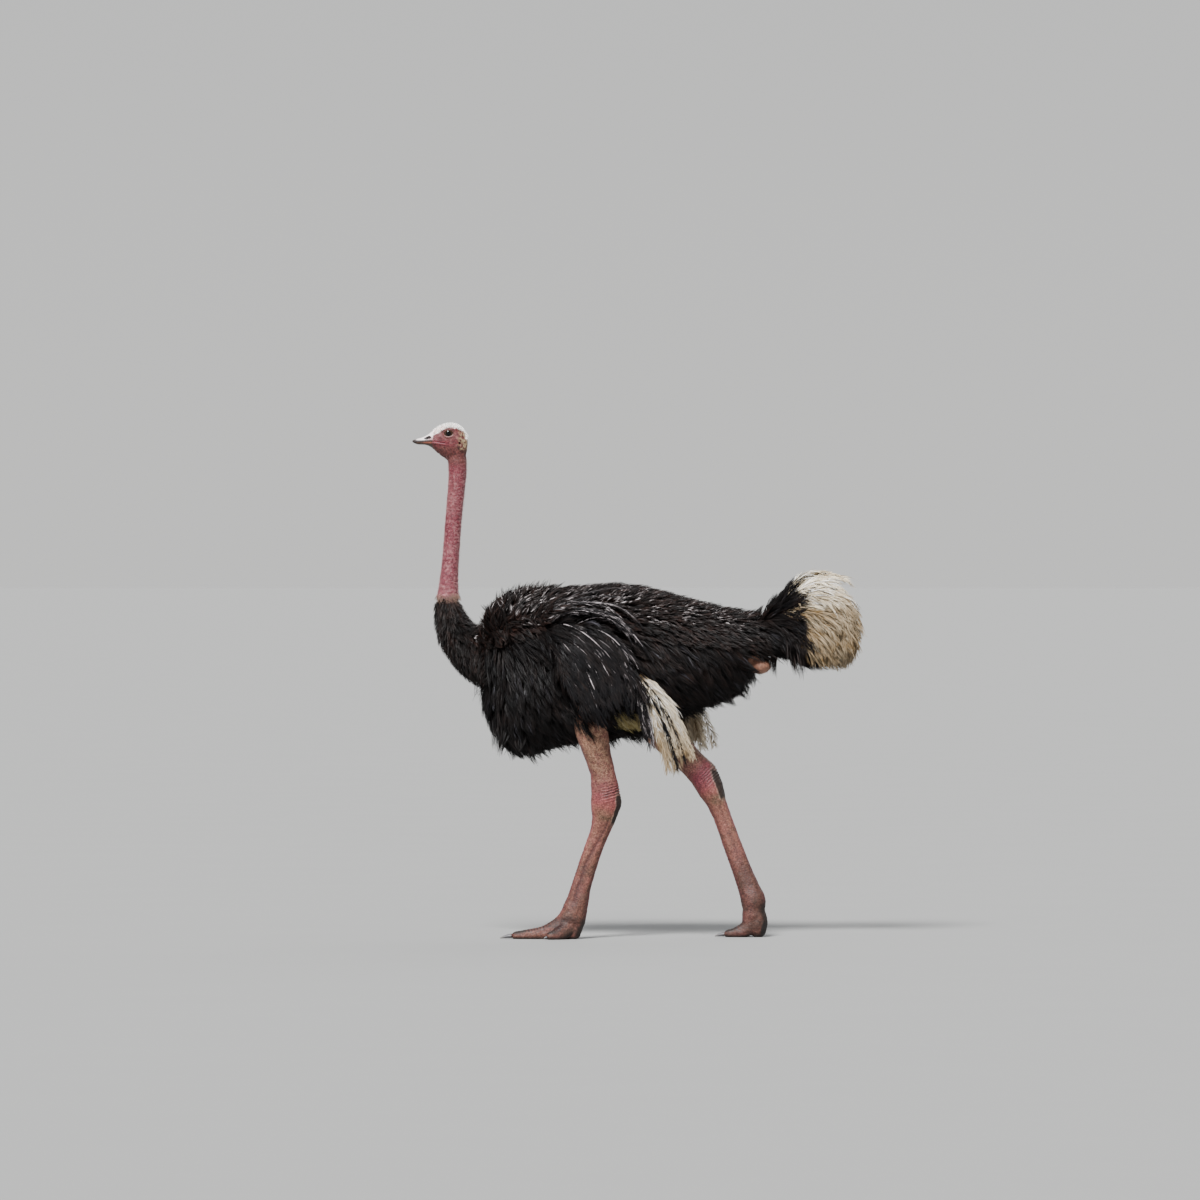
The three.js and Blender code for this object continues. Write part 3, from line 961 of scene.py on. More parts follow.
@dataclass
class Skin:
    """One skin over head, neck, trunk, tail stump, wings, legs and toes."""

    frame: dict[str, Any]
    outline: Field
    palette: Palette = field(default_factory=Palette)
    grain: Grain = field(default_factory=lambda: Grain(SEED))
    head_step: float = 0.0021
    leg_step: float = 0.0029

    def depth(self, x: Array, y: Array, z: Array) -> Array:
        """How far the skin lies under the tips of the coat.

        Args:
            x: Places along the bird.
            y: Places across it.
            z: Heights.

        Returns:
            The depths.
        """
        neck = 0.004 + 0.026 * (1.0 - rise(z, 1.28, NECK_FRINGE))
        trunk = 0.048 + 0.062 * rise(x, 0.62, 0.76)
        depth = neck + (trunk - neck) * rise(x, -0.72, -0.6)
        away = ((x - VENT[0]) / 0.05) ** 2 + (y / 0.05) ** 2 + ((z - VENT[2] + 0.01) / 0.042) ** 2
        return depth + (0.002 - depth) * np.exp(-(away**2))

    def body(self) -> Field:
        """The skin of everything under the plumes.

        Returns:
            Its solid.
        """
        values = self.outline.values + self.depth(*self.outline.axes()).astype(np.float32)
        body = self.outline.with_values(values)
        for leg in LEGS:
            low = np.array(leg.knee) + 0.5 * (np.array(leg.hock) - leg.knee)
            values = blended(values, body.rod(leg.knee, low, (0.085, 0.05)), 0.04)
        bulge = (VENT[0], 0.0, VENT[2] - 0.006)
        values = blended(values, body.ball(bulge, (0.045, 0.055, 0.033)), 0.012)
        return body.with_values(values)

    def head(self) -> Field:
        """The bare head and neck, with the bill's core, brows and eye sockets.

        Returns:
            Its solid.
        """
        names = ("head", "bill_upper", "bill_lower", "neck_upper", "neck_lower")
        box = ((-0.966, -0.07, 1.33), (-0.696, 0.07, 2.166))
        exact = Field.of_nodes(self.frame, names, box, self.head_step, 0.016)
        soft = exact.softened(0.0046)
        x, y, z = soft.axes()
        values = soft.values - 0.0003
        values = values + 0.0045 * (1.0 - rise(x, -0.876, -0.866))
        turn = np.arctan2(y, x + 0.8)
        ragged = 0.004 * np.sin(11.0 * turn) + 0.003 * np.sin(29.0 * turn + 1.0)
        values = values + 0.009 * rise(z + ragged, NECK_FRINGE + 0.006, NECK_FRINGE - 0.014)
        values = np.maximum(np.maximum(values, x + 0.705), 1.345 - z)
        eye = 0.5 * (np.array(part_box("eye_left")[0]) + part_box("eye_left")[1])
        for side in Side:
            y_eye = side.value * abs(eye[1])
            brow = soft.ball((eye[0] + 0.001, y_eye * 1.15, eye[2] + 0.0185), (0.03, 0.011, 0.008))
            values = blended(values, brow, 0.012)
            cheek = soft.ball((-0.832, side.value * 0.024, 2.072), (0.03, 0.012, 0.008))
            values = blended(values, cheek, 0.012)
            orbit = soft.ball((eye[0], y_eye, eye[2]), (0.0262, 0.0262, 0.0262))
            values = blended(values, orbit, 0.006)
            socket = soft.ball((eye[0], y_eye, eye[2]), (0.0249, 0.0249, 0.0249))
            opening = soft.ball(
                (eye[0] + 0.002, side.value * 0.056, eye[2]), (0.0215, 0.03, 0.0152)
            )
            values = np.maximum(values, -np.minimum(socket, opening))
            ear = soft.ball((-0.7545, side.value * 0.044, 2.066), (0.0045, 0.012, 0.0055))
            values = -blended(-values, ear, 0.004)
        return soft.with_values(values)

    def leg(self, leg: Leg) -> Field:
        """One leg with its toes, from the floor up into the thigh.

        Args:
            leg: The leg's measures.

        Returns:
            Its solid.
        """
        corners = np.array([leg.knee, leg.hock, leg.ball, *leg.middle, *leg.outer])
        low, high = corners.min(axis=0) - (0.09, 0.09, 0.02), corners.max(axis=0) + 0.09
        low[2], high[2] = -0.01, 1.04
        exact = Field.of_nodes(self.frame, leg.names, (low, high), self.leg_step, 0.02)
        thigh_end = np.array(leg.knee) + 0.55 * (np.array(leg.hock) - leg.knee)
        joined = np.minimum(exact.values, exact.rod(leg.knee, thigh_end, (0.086, 0.052)))
        for start, end, radii in leg.fills:
            joined = blended(joined, exact.rod(start, end, radii), 0.018)
        exact = exact.with_values(joined)
        coarse, fine = exact.softened(0.009), exact.softened(0.004)
        z = exact.axes()[2]
        above = rise(z, leg.fine_below - 0.05, leg.fine_below)
        values = fine.values + (coarse.values - fine.values) * above - 0.0008 - 0.0008 * above
        values = np.maximum(values, -z)
        values = np.maximum(values, z - 1.0)
        return exact.with_values(values)

    def build(self, finish: bpy.types.Material, body: Field, head: Field) -> Any:
        """Joins the parts into one skin, adds its relief and colours, and builds it.

        Args:
            finish: The skin's material.
            body: The skin under the plumes.
            head: The head and neck.

        Returns:
            The skin.
        """
        flesh = ["head", "neck_upper", "neck_lower", "trunk", "tail_base"]
        flesh += [name for leg in LEGS for name in leg.names]
        things = []
        for i, part in enumerate((body, head, *(self.leg(leg) for leg in LEGS))):
            mesh = Piece(f"part_{i}", *part.surface()).mesh()
            things.append(placed(mesh.name, mesh))
        skin = things[0]
        skin.name = skin.data.name = "skin"
        for other in things[1:]:
            cut = skin.modifiers.new("join", "BOOLEAN")
            cut.operation, cut.solver, cut.object = "UNION", "MANIFOLD", other
        whole = bpy.data.meshes.new_from_object(
            skin.evaluated_get(bpy.context.evaluated_depsgraph_get())
        )
        skin.modifiers.clear()
        skin.data = whole
        whole.name = "skin"
        for other in things[1:]:
            bpy.data.objects.remove(other)
        self.shape(whole)
        dress(skin, finish, flesh)
        return skin

    def shape(self, mesh: bpy.types.Mesh) -> None:
        """Moves the skin's points for folds, scutes and pimples, and colours them.

        Args:
            mesh: The skin's mesh.
        """
        points = read(mesh.vertices, "co").astype(float)
        normals = read(mesh.vertices, "normal").astype(float)
        lift, tint, rough = self.trunk_look(points)
        for look in (self.head_look, *(self._leg_look(leg) for leg in LEGS)):
            where, own_lift, own_tint, own_rough = look(points, normals)
            lift[where] = own_lift
            tint[where] = own_tint
            rough[where] = own_rough
        points += normals * lift[:, None]
        points[:, 2] = np.maximum(points[:, 2], 0.0)
        mesh.vertices.foreach_set("co", points.astype(np.float32).ravel())
        mesh.polygons.foreach_set("use_smooth", np.ones(len(mesh.polygons), bool))
        Piece("skin", points, np.empty((0, 4)), {"rough": rough}, tint).write(mesh)
        mesh.update()

    def trunk_look(self, points: Array) -> tuple[Array, Array, Array]:
        """Relief, tint and pimples of the skin under the plumes.

        Args:
            points: The skin's points.

        Returns:
            The three, for each point.
        """
        vent = spot(points, VENT, (0.05, 0.09, 0.04))
        tint = np.tile(self.palette.hidden, (len(points), 1))
        # Painted shade: the skin under the white tail is a darkened tan.
        tint = mixed(tint, self.palette.under_tail, rise(points[:, 0], 0.66, 0.7))
        tint = mixed(tint, self.palette.vent, rise(vent, 0.15, 0.35))
        lift = 0.002 * self.grain.at(points, 0.012) * vent
        return lift, tint, 0.4 * vent

    def head_look(self, points: Array, normals: Array) -> tuple[Array, Array, Array, Array]:
        """Relief, tint and pimples of the head and the bare neck.

        Args:
            points: The skin's points.
            normals: Their normals.

        Returns:
            Which points belong to it, and their relief, tint and pimples.
        """
        where = np.flatnonzero((points[:, 2] > 1.36) & (points[:, 0] < -0.68))
        p = points[where]
        x, z = p[:, 0], p[:, 2]
        grain = self.grain
        colours = self.palette
        wave = grain.at(p, 0.03)
        rings = np.sin((z + 0.004 * wave) * 2 * np.pi / 0.017) * rise(z, 1.98, 1.9)
        lift = 0.00035 * rings + 0.0009 * grain.at(p, 0.022) + 0.0004 * grain.at(p, 0.007)
        gape_height = GAPE - 0.0072 * rise(x, -0.868, -0.812)
        gape = hump(z, gape_height, 0.0022) * rise(x, -0.806, -0.82)
        lift -= 0.0028 * gape
        lift += 0.0014 * hump(z, gape_height - 0.006, 0.003) * rise(x, -0.80, -0.83)
        folds = np.sin((x + 0.55 * z + 0.003 * wave) * 2 * np.pi / 0.011)
        throat = rise(z, 2.058, 2.04) * rise(x, -0.73, -0.76) * rise(z, 1.985, 2.005)
        lift += 0.0007 * folds * throat

        tint = np.tile(colours.rose, (len(p), 1))
        tint = mixed(tint, colours.rose_low, rise(z, 1.85, 1.5))
        tint = mixed(tint, (0.2, 0.085, 0.09), 0.35 * rise(grain.at(p, 0.09), -0.4, 0.6))
        stipple = rise(grain.at(p, 0.007), 0.0, 0.6) * rise(z, 1.98, 1.9)
        tint = mixed(tint, (0.36, 0.2, 0.2), 0.3 * stipple)
        dark = rise(grain.at(p + 4.0, 0.008), 0.1, 0.6) * rise(z, 1.98, 1.9)
        tint = mixed(tint, (0.07, 0.015, 0.022), 0.4 * dark)
        tint = mixed(tint, colours.face, rise(z, 2.045, 2.065))
        blotch = rise(grain.at(p, 0.009) + 0.5 * grain.at(p + 2.0, 0.02), -0.1, 0.7)
        tint = mixed(tint, (0.038, 0.009, 0.011), 0.7 * blotch * rise(z, 1.99, 2.03))
        pale = rise(grain.at(p + 6.0, 0.012), 0.1, 0.6) * rise(z, 1.99, 2.03)
        tint = mixed(tint, (0.16, 0.07, 0.068), 0.6 * pale)
        tint = mixed(tint, colours.throat, 0.85 * rise(z, 2.062, 2.046) * rise(z, 1.95, 2.0))
        tint = mixed(tint, colours.gape, 0.9 * hump(z, gape_height, 0.006) * rise(x, -0.785, -0.82))
        line = crown_line(x + 0.006 * grain.at(p, 0.01))
        crown = rise(z + 0.003 * grain.at(p, 0.008), line - 0.002, line + 0.006)
        streaks = rise(np.sin((z - 0.9 * x + 0.004 * wave) * 2 * np.pi / 0.0085), -0.2, 0.6)
        lores = rise(x, -0.812, -0.835) * rise(z - line, -0.03, -0.012)
        tint = mixed(tint, (0.2, 0.07, 0.078), 0.7 * lores * streaks)
        tint = mixed(tint, (0.04, 0.009, 0.011), 0.75 * lores * (1 - streaks))
        tint = mixed(tint, colours.crown, crown)
        flushed = rise(grain.at(p + 8.0, 0.014), -0.3, 0.3) * rise(x, -0.8, -0.84)
        tint = mixed(tint, (0.5, 0.22, 0.21), 0.6 * flushed * crown)
        nape = rise(x + 0.009 * grain.at(p, 0.008), -0.768, -0.745) * (1 - crown)
        nape = nape * rise(z + 0.008 * grain.at(p, 0.012), 2.03, 2.05)
        patchy = rise(grain.at(p, 0.006) + 0.5 * grain.at(p, 0.003), -0.55, 0.2)
        tint = mixed(tint, colours.ochre, 0.75 * nape * patchy)
        spotted = rise(grain.at(p + 5.0, 0.011), 0.25, 0.5) * rise(x, -0.8, -0.77) * rise(z, 2.0, 2.02)
        tint = mixed(tint, (0.05, 0.012, 0.014), 0.75 * spotted * (1 - crown))
        for centre, size, share in MOLES:
            tint = mixed(tint, colours.umber, share * spot(p, centre, (size, 0.03, size)))
        ring = np.hypot((x + 0.801) / 0.031, (z - 2.1075) / 0.0235)
        tint = mixed(tint, (0.085, 0.025, 0.025), 0.8 * rise(ring, 1.2, 0.98))
        pores = rise(grain.at(p, 0.0045), 0.35, 0.75) * rise(z, 1.99, 2.02)
        tint = mixed(tint, colours.umber, 0.4 * pores * (1 - crown))
        # Painted shade: the skin core inside the bill is near black, so the slit between the bill halves
        # reads dark.
        tint = mixed(tint, (0.01, 0.005, 0.005), rise(x, -0.87, -0.876))
        under = rise(z + 0.007 * grain.at(p, 0.009), NECK_FRINGE + 0.008, NECK_FRINGE - 0.012)
        tint = mixed(tint, colours.hidden, under)
        lift *= rise(ring, 0.95, 1.2)
        return where, lift, tint, 0.3 + 0.2 * rise(z, 2.0, 1.9)

    def _leg_look(self, leg: Leg) -> Callable[[Array, Array], tuple[Array, Array, Array, Array]]:
        """The look of one leg, as a function of points and normals.

        Args:
            leg: The leg's measures.

        Returns:
            The function.
        """
        bones = Way(np.array([leg.knee, leg.hock, leg.ball]))
        toes = [Way(np.array(leg.middle)), Way(np.array(leg.outer))]
        toe_length = [toe.marks[-1] for toe in toes]
        thigh = bones.marks[1]

        def look(points: Array, normals: Array) -> tuple[Array, Array, Array, Array]:
            """Relief, tint and pimples of the leg.

            Args:
                points: The skin's points.
                normals: Their normals.

            Returns:
                Which points belong to it, and their relief, tint and pimples.
            """
            where = np.flatnonzero(
                (points[:, 2] < 0.99) & (points[:, 1] * leg.side.value > 0.02)
            )
            along, offset = bones.nearest(points[where])
            near = np.linalg.norm(offset, axis=1) < np.where(along > thigh, 0.1, 0.105)
            toe_gap = [toe.nearest(points[where]) for toe in toes]
            close = np.min([np.linalg.norm(away, axis=1) for _, away in toe_gap], axis=0)
            keep = near | (close < 0.06)
            where, along, offset = where[keep], along[keep], offset[keep]
            p, n = points[where], normals[where]
            below, ankle = along - thigh, leg.ball[2]
            front = -n[:, 0]
            lateral = n[:, 1] * leg.side.value
            turn = np.arctan2(lateral, front)
            wave = self.grain.at(p, 0.02)
            colours = self.palette
            lift = 0.0008 * self.grain.at(p, 0.016) + 0.0005 * self.grain.at(p, 0.006)
            wrinkles = np.sin((along + 0.003 * wave) * 2 * np.pi / 0.0115)
            back = rise(front, 0.45, -0.1)
            creased = hump(below, -0.045, 0.036) * (0.12 + 0.88 * back)
            lift += 0.0019 * wrinkles * creased
            cords = np.cos(6.0 * turn + 0.6)
            long = rise(below, 0.03, 0.1) * rise(below, 0.49, 0.42)
            lift += 0.001 * cords * long
            groove = hump(turn, 1.85 - 0.5 * rise(below, 0.05, 0.3), 0.13) * long
            lift -= 0.002 * groove
            scute = np.mod((along + 0.003 * wave) / 0.0155, 1.0)
            plate = (scute - rise(scute, 0.82, 1.0)) * rise(front, 0.45, 0.8)
            lift += 0.0014 * plate * rise(below, 0.18, 0.26)

            tint = np.tile(colours.thigh, (len(p), 1))
            blotch = rise(self.grain.at(p, 0.011) + 0.5 * self.grain.at(p, 0.035), 0.05, 0.5)
            tint = mixed(tint, (0.095, 0.036, 0.032), 0.55 * blotch)
            # Painted light: the top of the thigh is lightened against the shadow that the wing casts on it.
            tint = tint * (1.0 + 0.75 * rise(p[:, 2], 0.76, 0.84))[:, None]
            tint = mixed(tint, colours.shank, rise(below, -0.11, 0.06))
            rim = rise(np.abs(front), 0.55, 0.95) * rise(below, -0.4, -0.1)
            tint = mixed(tint, (0.17, 0.042, 0.05), 0.7 * rim)
            facing = rise(np.abs(lateral), 0.2, 0.85)
            flush = hump(below, -0.012 + 0.02 * wave, 0.045) * facing
            tint = mixed(tint, (0.178, 0.048, 0.046), 0.8 * flush)
            high = hump(below, -0.065, 0.06) * facing
            tint = mixed(tint, (0.145, 0.028, 0.046), leg.flushed * high)
            smudge = hump(below + 0.015 * wave, 0.052, 0.02) * rise(front, 0.7, 0.1)
            tint = mixed(tint, (0.075, 0.048, 0.028), 0.85 * smudge)
            rosy = rise(self.grain.at(p, 0.05), -0.1, 0.5) * rise(below, 0.05, 0.12)
            tint = mixed(tint, (0.2, 0.078, 0.066), 0.6 * rosy)
            ashen = rise(self.grain.at(p + 3.0, 0.03), 0.05, 0.5) * rise(below, 0.1, 0.2)
            tint = mixed(tint, (0.09, 0.054, 0.04), 0.55 * ashen)
            tint = tint * (1.0 - leg.weathered * rise(below, 0.15, 0.42))[:, None]
            # Painted shade in the grooves of the wrinkles about the hock.
            tint = mixed(tint, (0.035, 0.012, 0.011), 0.8 * rise(wrinkles, 0.1, -0.8) * creased)
            # Painted shade in the shank's long groove and between its cords.
            groove_shade = np.maximum(0.8 * groove, 0.35 * rise(cords, -0.5, -1) * long)
            tint = mixed(tint, (0.045, 0.016, 0.016), groove_shade)
            callus = hump(below, *leg.callus) * rise(front, *leg.callus_rim)
            callus = callus * (1.0 + 0.6 * self.grain.at(p, 0.02))
            tint = mixed(tint, (0.17, 0.14, 0.11), 0.5 * rise(callus, 0.1, 0.3))
            tint = mixed(tint, colours.pad, 0.97 * rise(callus, 0.22, 0.5))
            lift += 0.0015 * rise(callus, 0.1, 0.5)
            spots = rise(self.grain.at(p + 7.0, 0.0085), 0.4, 0.6) * rise(front, -0.2, 0.4)
            tint = mixed(tint, colours.umber, 0.8 * spots * rise(p[:, 2], ankle + 0.14, ankle + 0.03))
            heel = rise(front, -0.1, -0.7) * rise(p[:, 2], ankle + 0.03, ankle - 0.03)
            foot = rise(close[keep], 0.062, 0.05) * rise(p[:, 2], 0.12, 0.08)
            for (step_along, away), spacing, size in zip(toe_gap, (0.0125, 0.0105), toe_length):
                s, up = step_along[keep], n[:, 2]
                own = rise(np.linalg.norm(away[keep], axis=1), 0.06, 0.045)
                own = own * rise(s, 0.02, 0.045) * rise(p[:, 2], 0.13, 0.1)
                plate = np.mod(s / spacing + 0.04 * wave, 1.0)
                edge = plate - rise(plate, 0.8, 1.0)
                lift += 0.0017 * edge * own * rise(up, 0.25, 0.7)
                joint = 0.85 * own * rise(up, 0.3, 0.8) * rise(plate, 0.95, 0.5)
                tint = mixed(tint, (0.014, 0.007, 0.007), joint)
                worn = 0.9 * own * rise(up, 0.3, 0.7) * rise(s, 0.7 * size, 0.85 * size)
                tint = mixed(tint, colours.pad, worn)
            web = hump(np.hypot(p[:, 0] - leg.middle[0][0], p[:, 2] - 0.4 * ankle), 0.05, 0.03)
            web = web * rise(lateral, -0.2, 0.3) * foot * rise(front, -0.5, 0)
            tint = mixed(tint, colours.umber, 0.7 * web)
            knob = rise(self.grain.at(p, 0.0055), -0.2, 0.6)
            lift += 0.0009 * knob * np.maximum(foot, heel) * rise(n[:, 2], 0.6, 0.1)
            tint = mixed(tint, colours.pad, 0.95 * heel)
            tint = mixed(tint, colours.pad, 0.8 * rise(p[:, 2], 0.016, 0.004))
            lift *= rise(p[:, 2], 0.0, 0.006)
            return where, lift, tint, 0.75 + 0.25 * rise(below, 0.0, -0.2)

        return look


def mixed(tint: Array, colour: Sequence[float], share: Array) -> Array:
    """Colours moved towards one colour by a share each."""
    return tint + (np.asarray(colour) - tint) * np.clip(share, 0.0, 1.0)[:, None]


def crown_line(x: Array) -> Array:
    """Height down to which the white crown reaches.

    Args:
        x: Places along the head.

    Returns:
        The heights.
    """
    return np.interp(
        x,
        (-0.885, -0.868, -0.835, -0.80, -0.778, -0.765, -0.752, -0.742, -0.735, -0.728),
        (2.075, 2.094, 2.119, 2.131, 2.130, 2.126, 2.122, 2.116, 2.105, 2.08),
    )


# ---- Eyes, bill and claws ----


@dataclass
class Eye:
    """One eyeball with its lids and lashes."""

    side: Side
    half_width: float = 0.86  # of the opening, as an angle round the ball
    upper: float = 0.60
    lower: float = 0.54

    def __post_init__(self) -> None:
        """Reads the ball's place and sets the way it looks."""
        low, high = (np.array(corner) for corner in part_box(f"eye_{self.side.word}"))
        self.centre, self.radius = (low + high) / 2.0, float(np.max(high - low)) / 2.0
        self.look = unit(np.array([-0.02, self.side.value, 0.02]))
        self.forward = unit(np.cross(self.look, (0.0, 0.0, 1.0))) * -self.side.value
        self.up = np.cross(self.look, self.forward)
        self.up *= np.sign(self.up[2])
        self.forward *= -np.sign(self.forward[0])

    def over(self, angle: Array, turn: Array, radius: Array) -> Array:
        """Points at an angle from the look and a turn round it, at a distance from the centre.

        Args:
            angle: Angles from the look.
            turn: Turns round the look.
            radius: Distances from the centre.

        Returns:
            The points.
        """
        ring = np.cos(turn)[..., None] * self.forward + np.sin(turn)[..., None] * self.up
        way = np.cos(angle)[..., None] * self.look + np.sin(angle)[..., None] * ring
        return self.centre + radius[..., None] * way

    def rim(self, turn: Array, grow: Array) -> tuple[Array, Array]:
        """The lids' edge, as an angle and a turn, grown by a factor.

        Args:
            turn: Turns round the look.
            grow: The factor.

        Returns:
            The angles and the turns.
        """
        across = self.half_width * np.cos(turn)
        high = np.where(np.sin(turn) > 0, self.upper, self.lower) * np.sin(turn)
        high = high * np.abs(np.sin(turn)) ** 0.12 - 0.05 * np.cos(turn)
        across, high = across * grow, high * grow
        return np.hypot(across, high), np.arctan2(high, across)

    def _faces(self, rows: int, columns: int) -> Array:
        """Faces over rings of points round the look, with their fronts outwards.

        Args:
            rows: How many rings.
            columns: How many points each has.

        Returns:
            The faces.
        """
        row = np.arange(rows - 1)[:, None] * columns
        column = np.arange(columns)
        after = (column + 1) % columns
        corners = [row + column, row + after, row + columns + after, row + columns + column]
        return np.stack(corners, axis=-1).reshape(-1, 4)[:, :: -self.side.value]

    def build(self, ball: Any, skin: Any, down: Any) -> None:
        """Builds the ball, the lids and the lashes.

        Args:
            ball: The eyeball's material.
            skin: The lids' material.
            down: The lashes' material.
        """
        word = self.side.word
        rows, columns = 44, 56
        angle = np.linspace(0.001, np.pi * 0.98, rows)[:, None] + np.zeros(columns)
        turn = np.linspace(0, 2 * np.pi, columns, endpoint=False) + np.zeros((rows, 1))
        cornea = 1.0 + 0.02 * np.exp(-((angle / 0.5) ** 2))
        points = self.over(angle, turn, self.radius * cornea * 0.996)
        faces = self._faces(rows, columns)
        shares = {"angle": angle.ravel(), "turn": np.sin(turn * 3.0).ravel()}
        Piece(f"eyeball_{word}", points.reshape(-1, 3), faces, shares).build(
            ball, Slot.EYE, [f"eye_{word}"]
        )
        self._lids(skin)
        self._lashes(down)

    def _lids(self, skin: Any) -> None:
        """Builds the ring of both lids.

        Args:
            skin: Their material.
        """
        columns = 96
        grow = np.array([0.93, 0.99, 1.0, 1.03, 1.1, 1.2, 1.3, 1.38, 1.46, 1.6, 1.7])
        high = np.array([-0.2, 0.2, 0.9, 1.7, 2.2, 1.9, 2.1, 1.6, 0.6, -1.2, -3.0]) / 1000.0
        turn = np.linspace(0, 2 * np.pi, columns, endpoint=False)
        rows = []
        for g, h in zip(grow, high):
            angle, ring = self.rim(turn, g)
            wave = 0.0003 * np.sin(turn * 17.0 + 9.0 * g) * (g > 1.05)
            rows.append(self.over(angle, ring, self.radius + h + wave))
        points = np.concatenate(rows)
        share = np.repeat(grow, columns)
        below = np.tile(rise(np.sin(turn), -0.15, -0.6), len(grow))
        tint = np.tile((0.13, 0.045, 0.04), (len(points), 1))
        tint = mixed(tint, (0.025, 0.012, 0.01), rise(share, 1.06, 1.0))
        tint = mixed(tint, (0.55, 0.3, 0.29), below * hump(share, 1.16, 0.1))
        tint = mixed(tint, Palette().face, rise(share, 1.32, 1.5))
        faces = self._faces(len(grow), columns)
        rough = np.full(len(points), 0.25)
        Piece(f"lids_{self.side.word}", points, faces, {"rough": rough}, tint).build(skin, Slot.SKIN)

    def _lashes(self, down: Any) -> None:
        """Builds the black lashes of the upper lid and the short ones of the lower.

        Args:
            down: Their material.
        """
        rng = np.random.default_rng(SEED + 3)
        turn = np.concatenate([np.linspace(0.35, 2.8, 34), np.linspace(3.7, 5.8, 16)])
        turn = turn + rng.normal(0, 0.02, len(turn))
        long = np.where(turn < np.pi, 0.0115, 0.005) * rng.uniform(0.75, 1.1, len(turn))
        angle, ring = self.rim(turn, np.full(len(turn), 1.02))
        root = self.over(angle, ring, np.full(len(turn), self.radius + 0.0012))
        out = unit(self.over(angle * 1.9, ring, np.full(len(turn), self.radius * 1.6)) - root)
        out = unit(out + 0.45 * self.look)
        steps = np.linspace(0, 1, 5)
        bend = np.where(turn < np.pi, 1.0, -1.0)[:, None, None] * self.up
        axis = root[:, None] + out[:, None] * (long[:, None] * steps)[..., None]
        axis = axis + bend * (long[:, None] * steps**2)[..., None] * 0.4
        wide = unit(np.cross(out, self.look))[:, None] * (0.00032 * (1.05 - steps))[None, :, None]
        strips = np.stack([axis - wide, axis + wide], axis=2)
        faces = ribbons(len(turn), len(steps))
        points = strips.reshape(-1, 3)
        tint = np.full((len(points), 3), 0.006)
        tone = np.zeros(len(points))
        unwrap = np.repeat(np.linspace(0.01, 0.98, len(turn)), len(steps) * 2)
        unwrap = np.stack([unwrap, np.tile([0.5, 0.5 + PATCH], len(turn) * len(steps))], -1)
        Piece(f"lashes_{self.side.word}", points, faces, {"tone": tone}, tint, unwrap).build(
            down, Slot.BLACK
        )


def ribbons(count: int, marks: int) -> Array:
    """Faces of ribbons whose points come in pairs, marks pairs to a ribbon.

    Args:
        count: How many ribbons.
        marks: How many pairs each has.

    Returns:
        The faces.
    """
    start = (np.arange(count) * marks)[:, None] + np.arange(marks - 1)
    start = 2 * start.reshape(-1)
    return np.stack([start, start + 1, start + 3, start + 2], axis=-1)


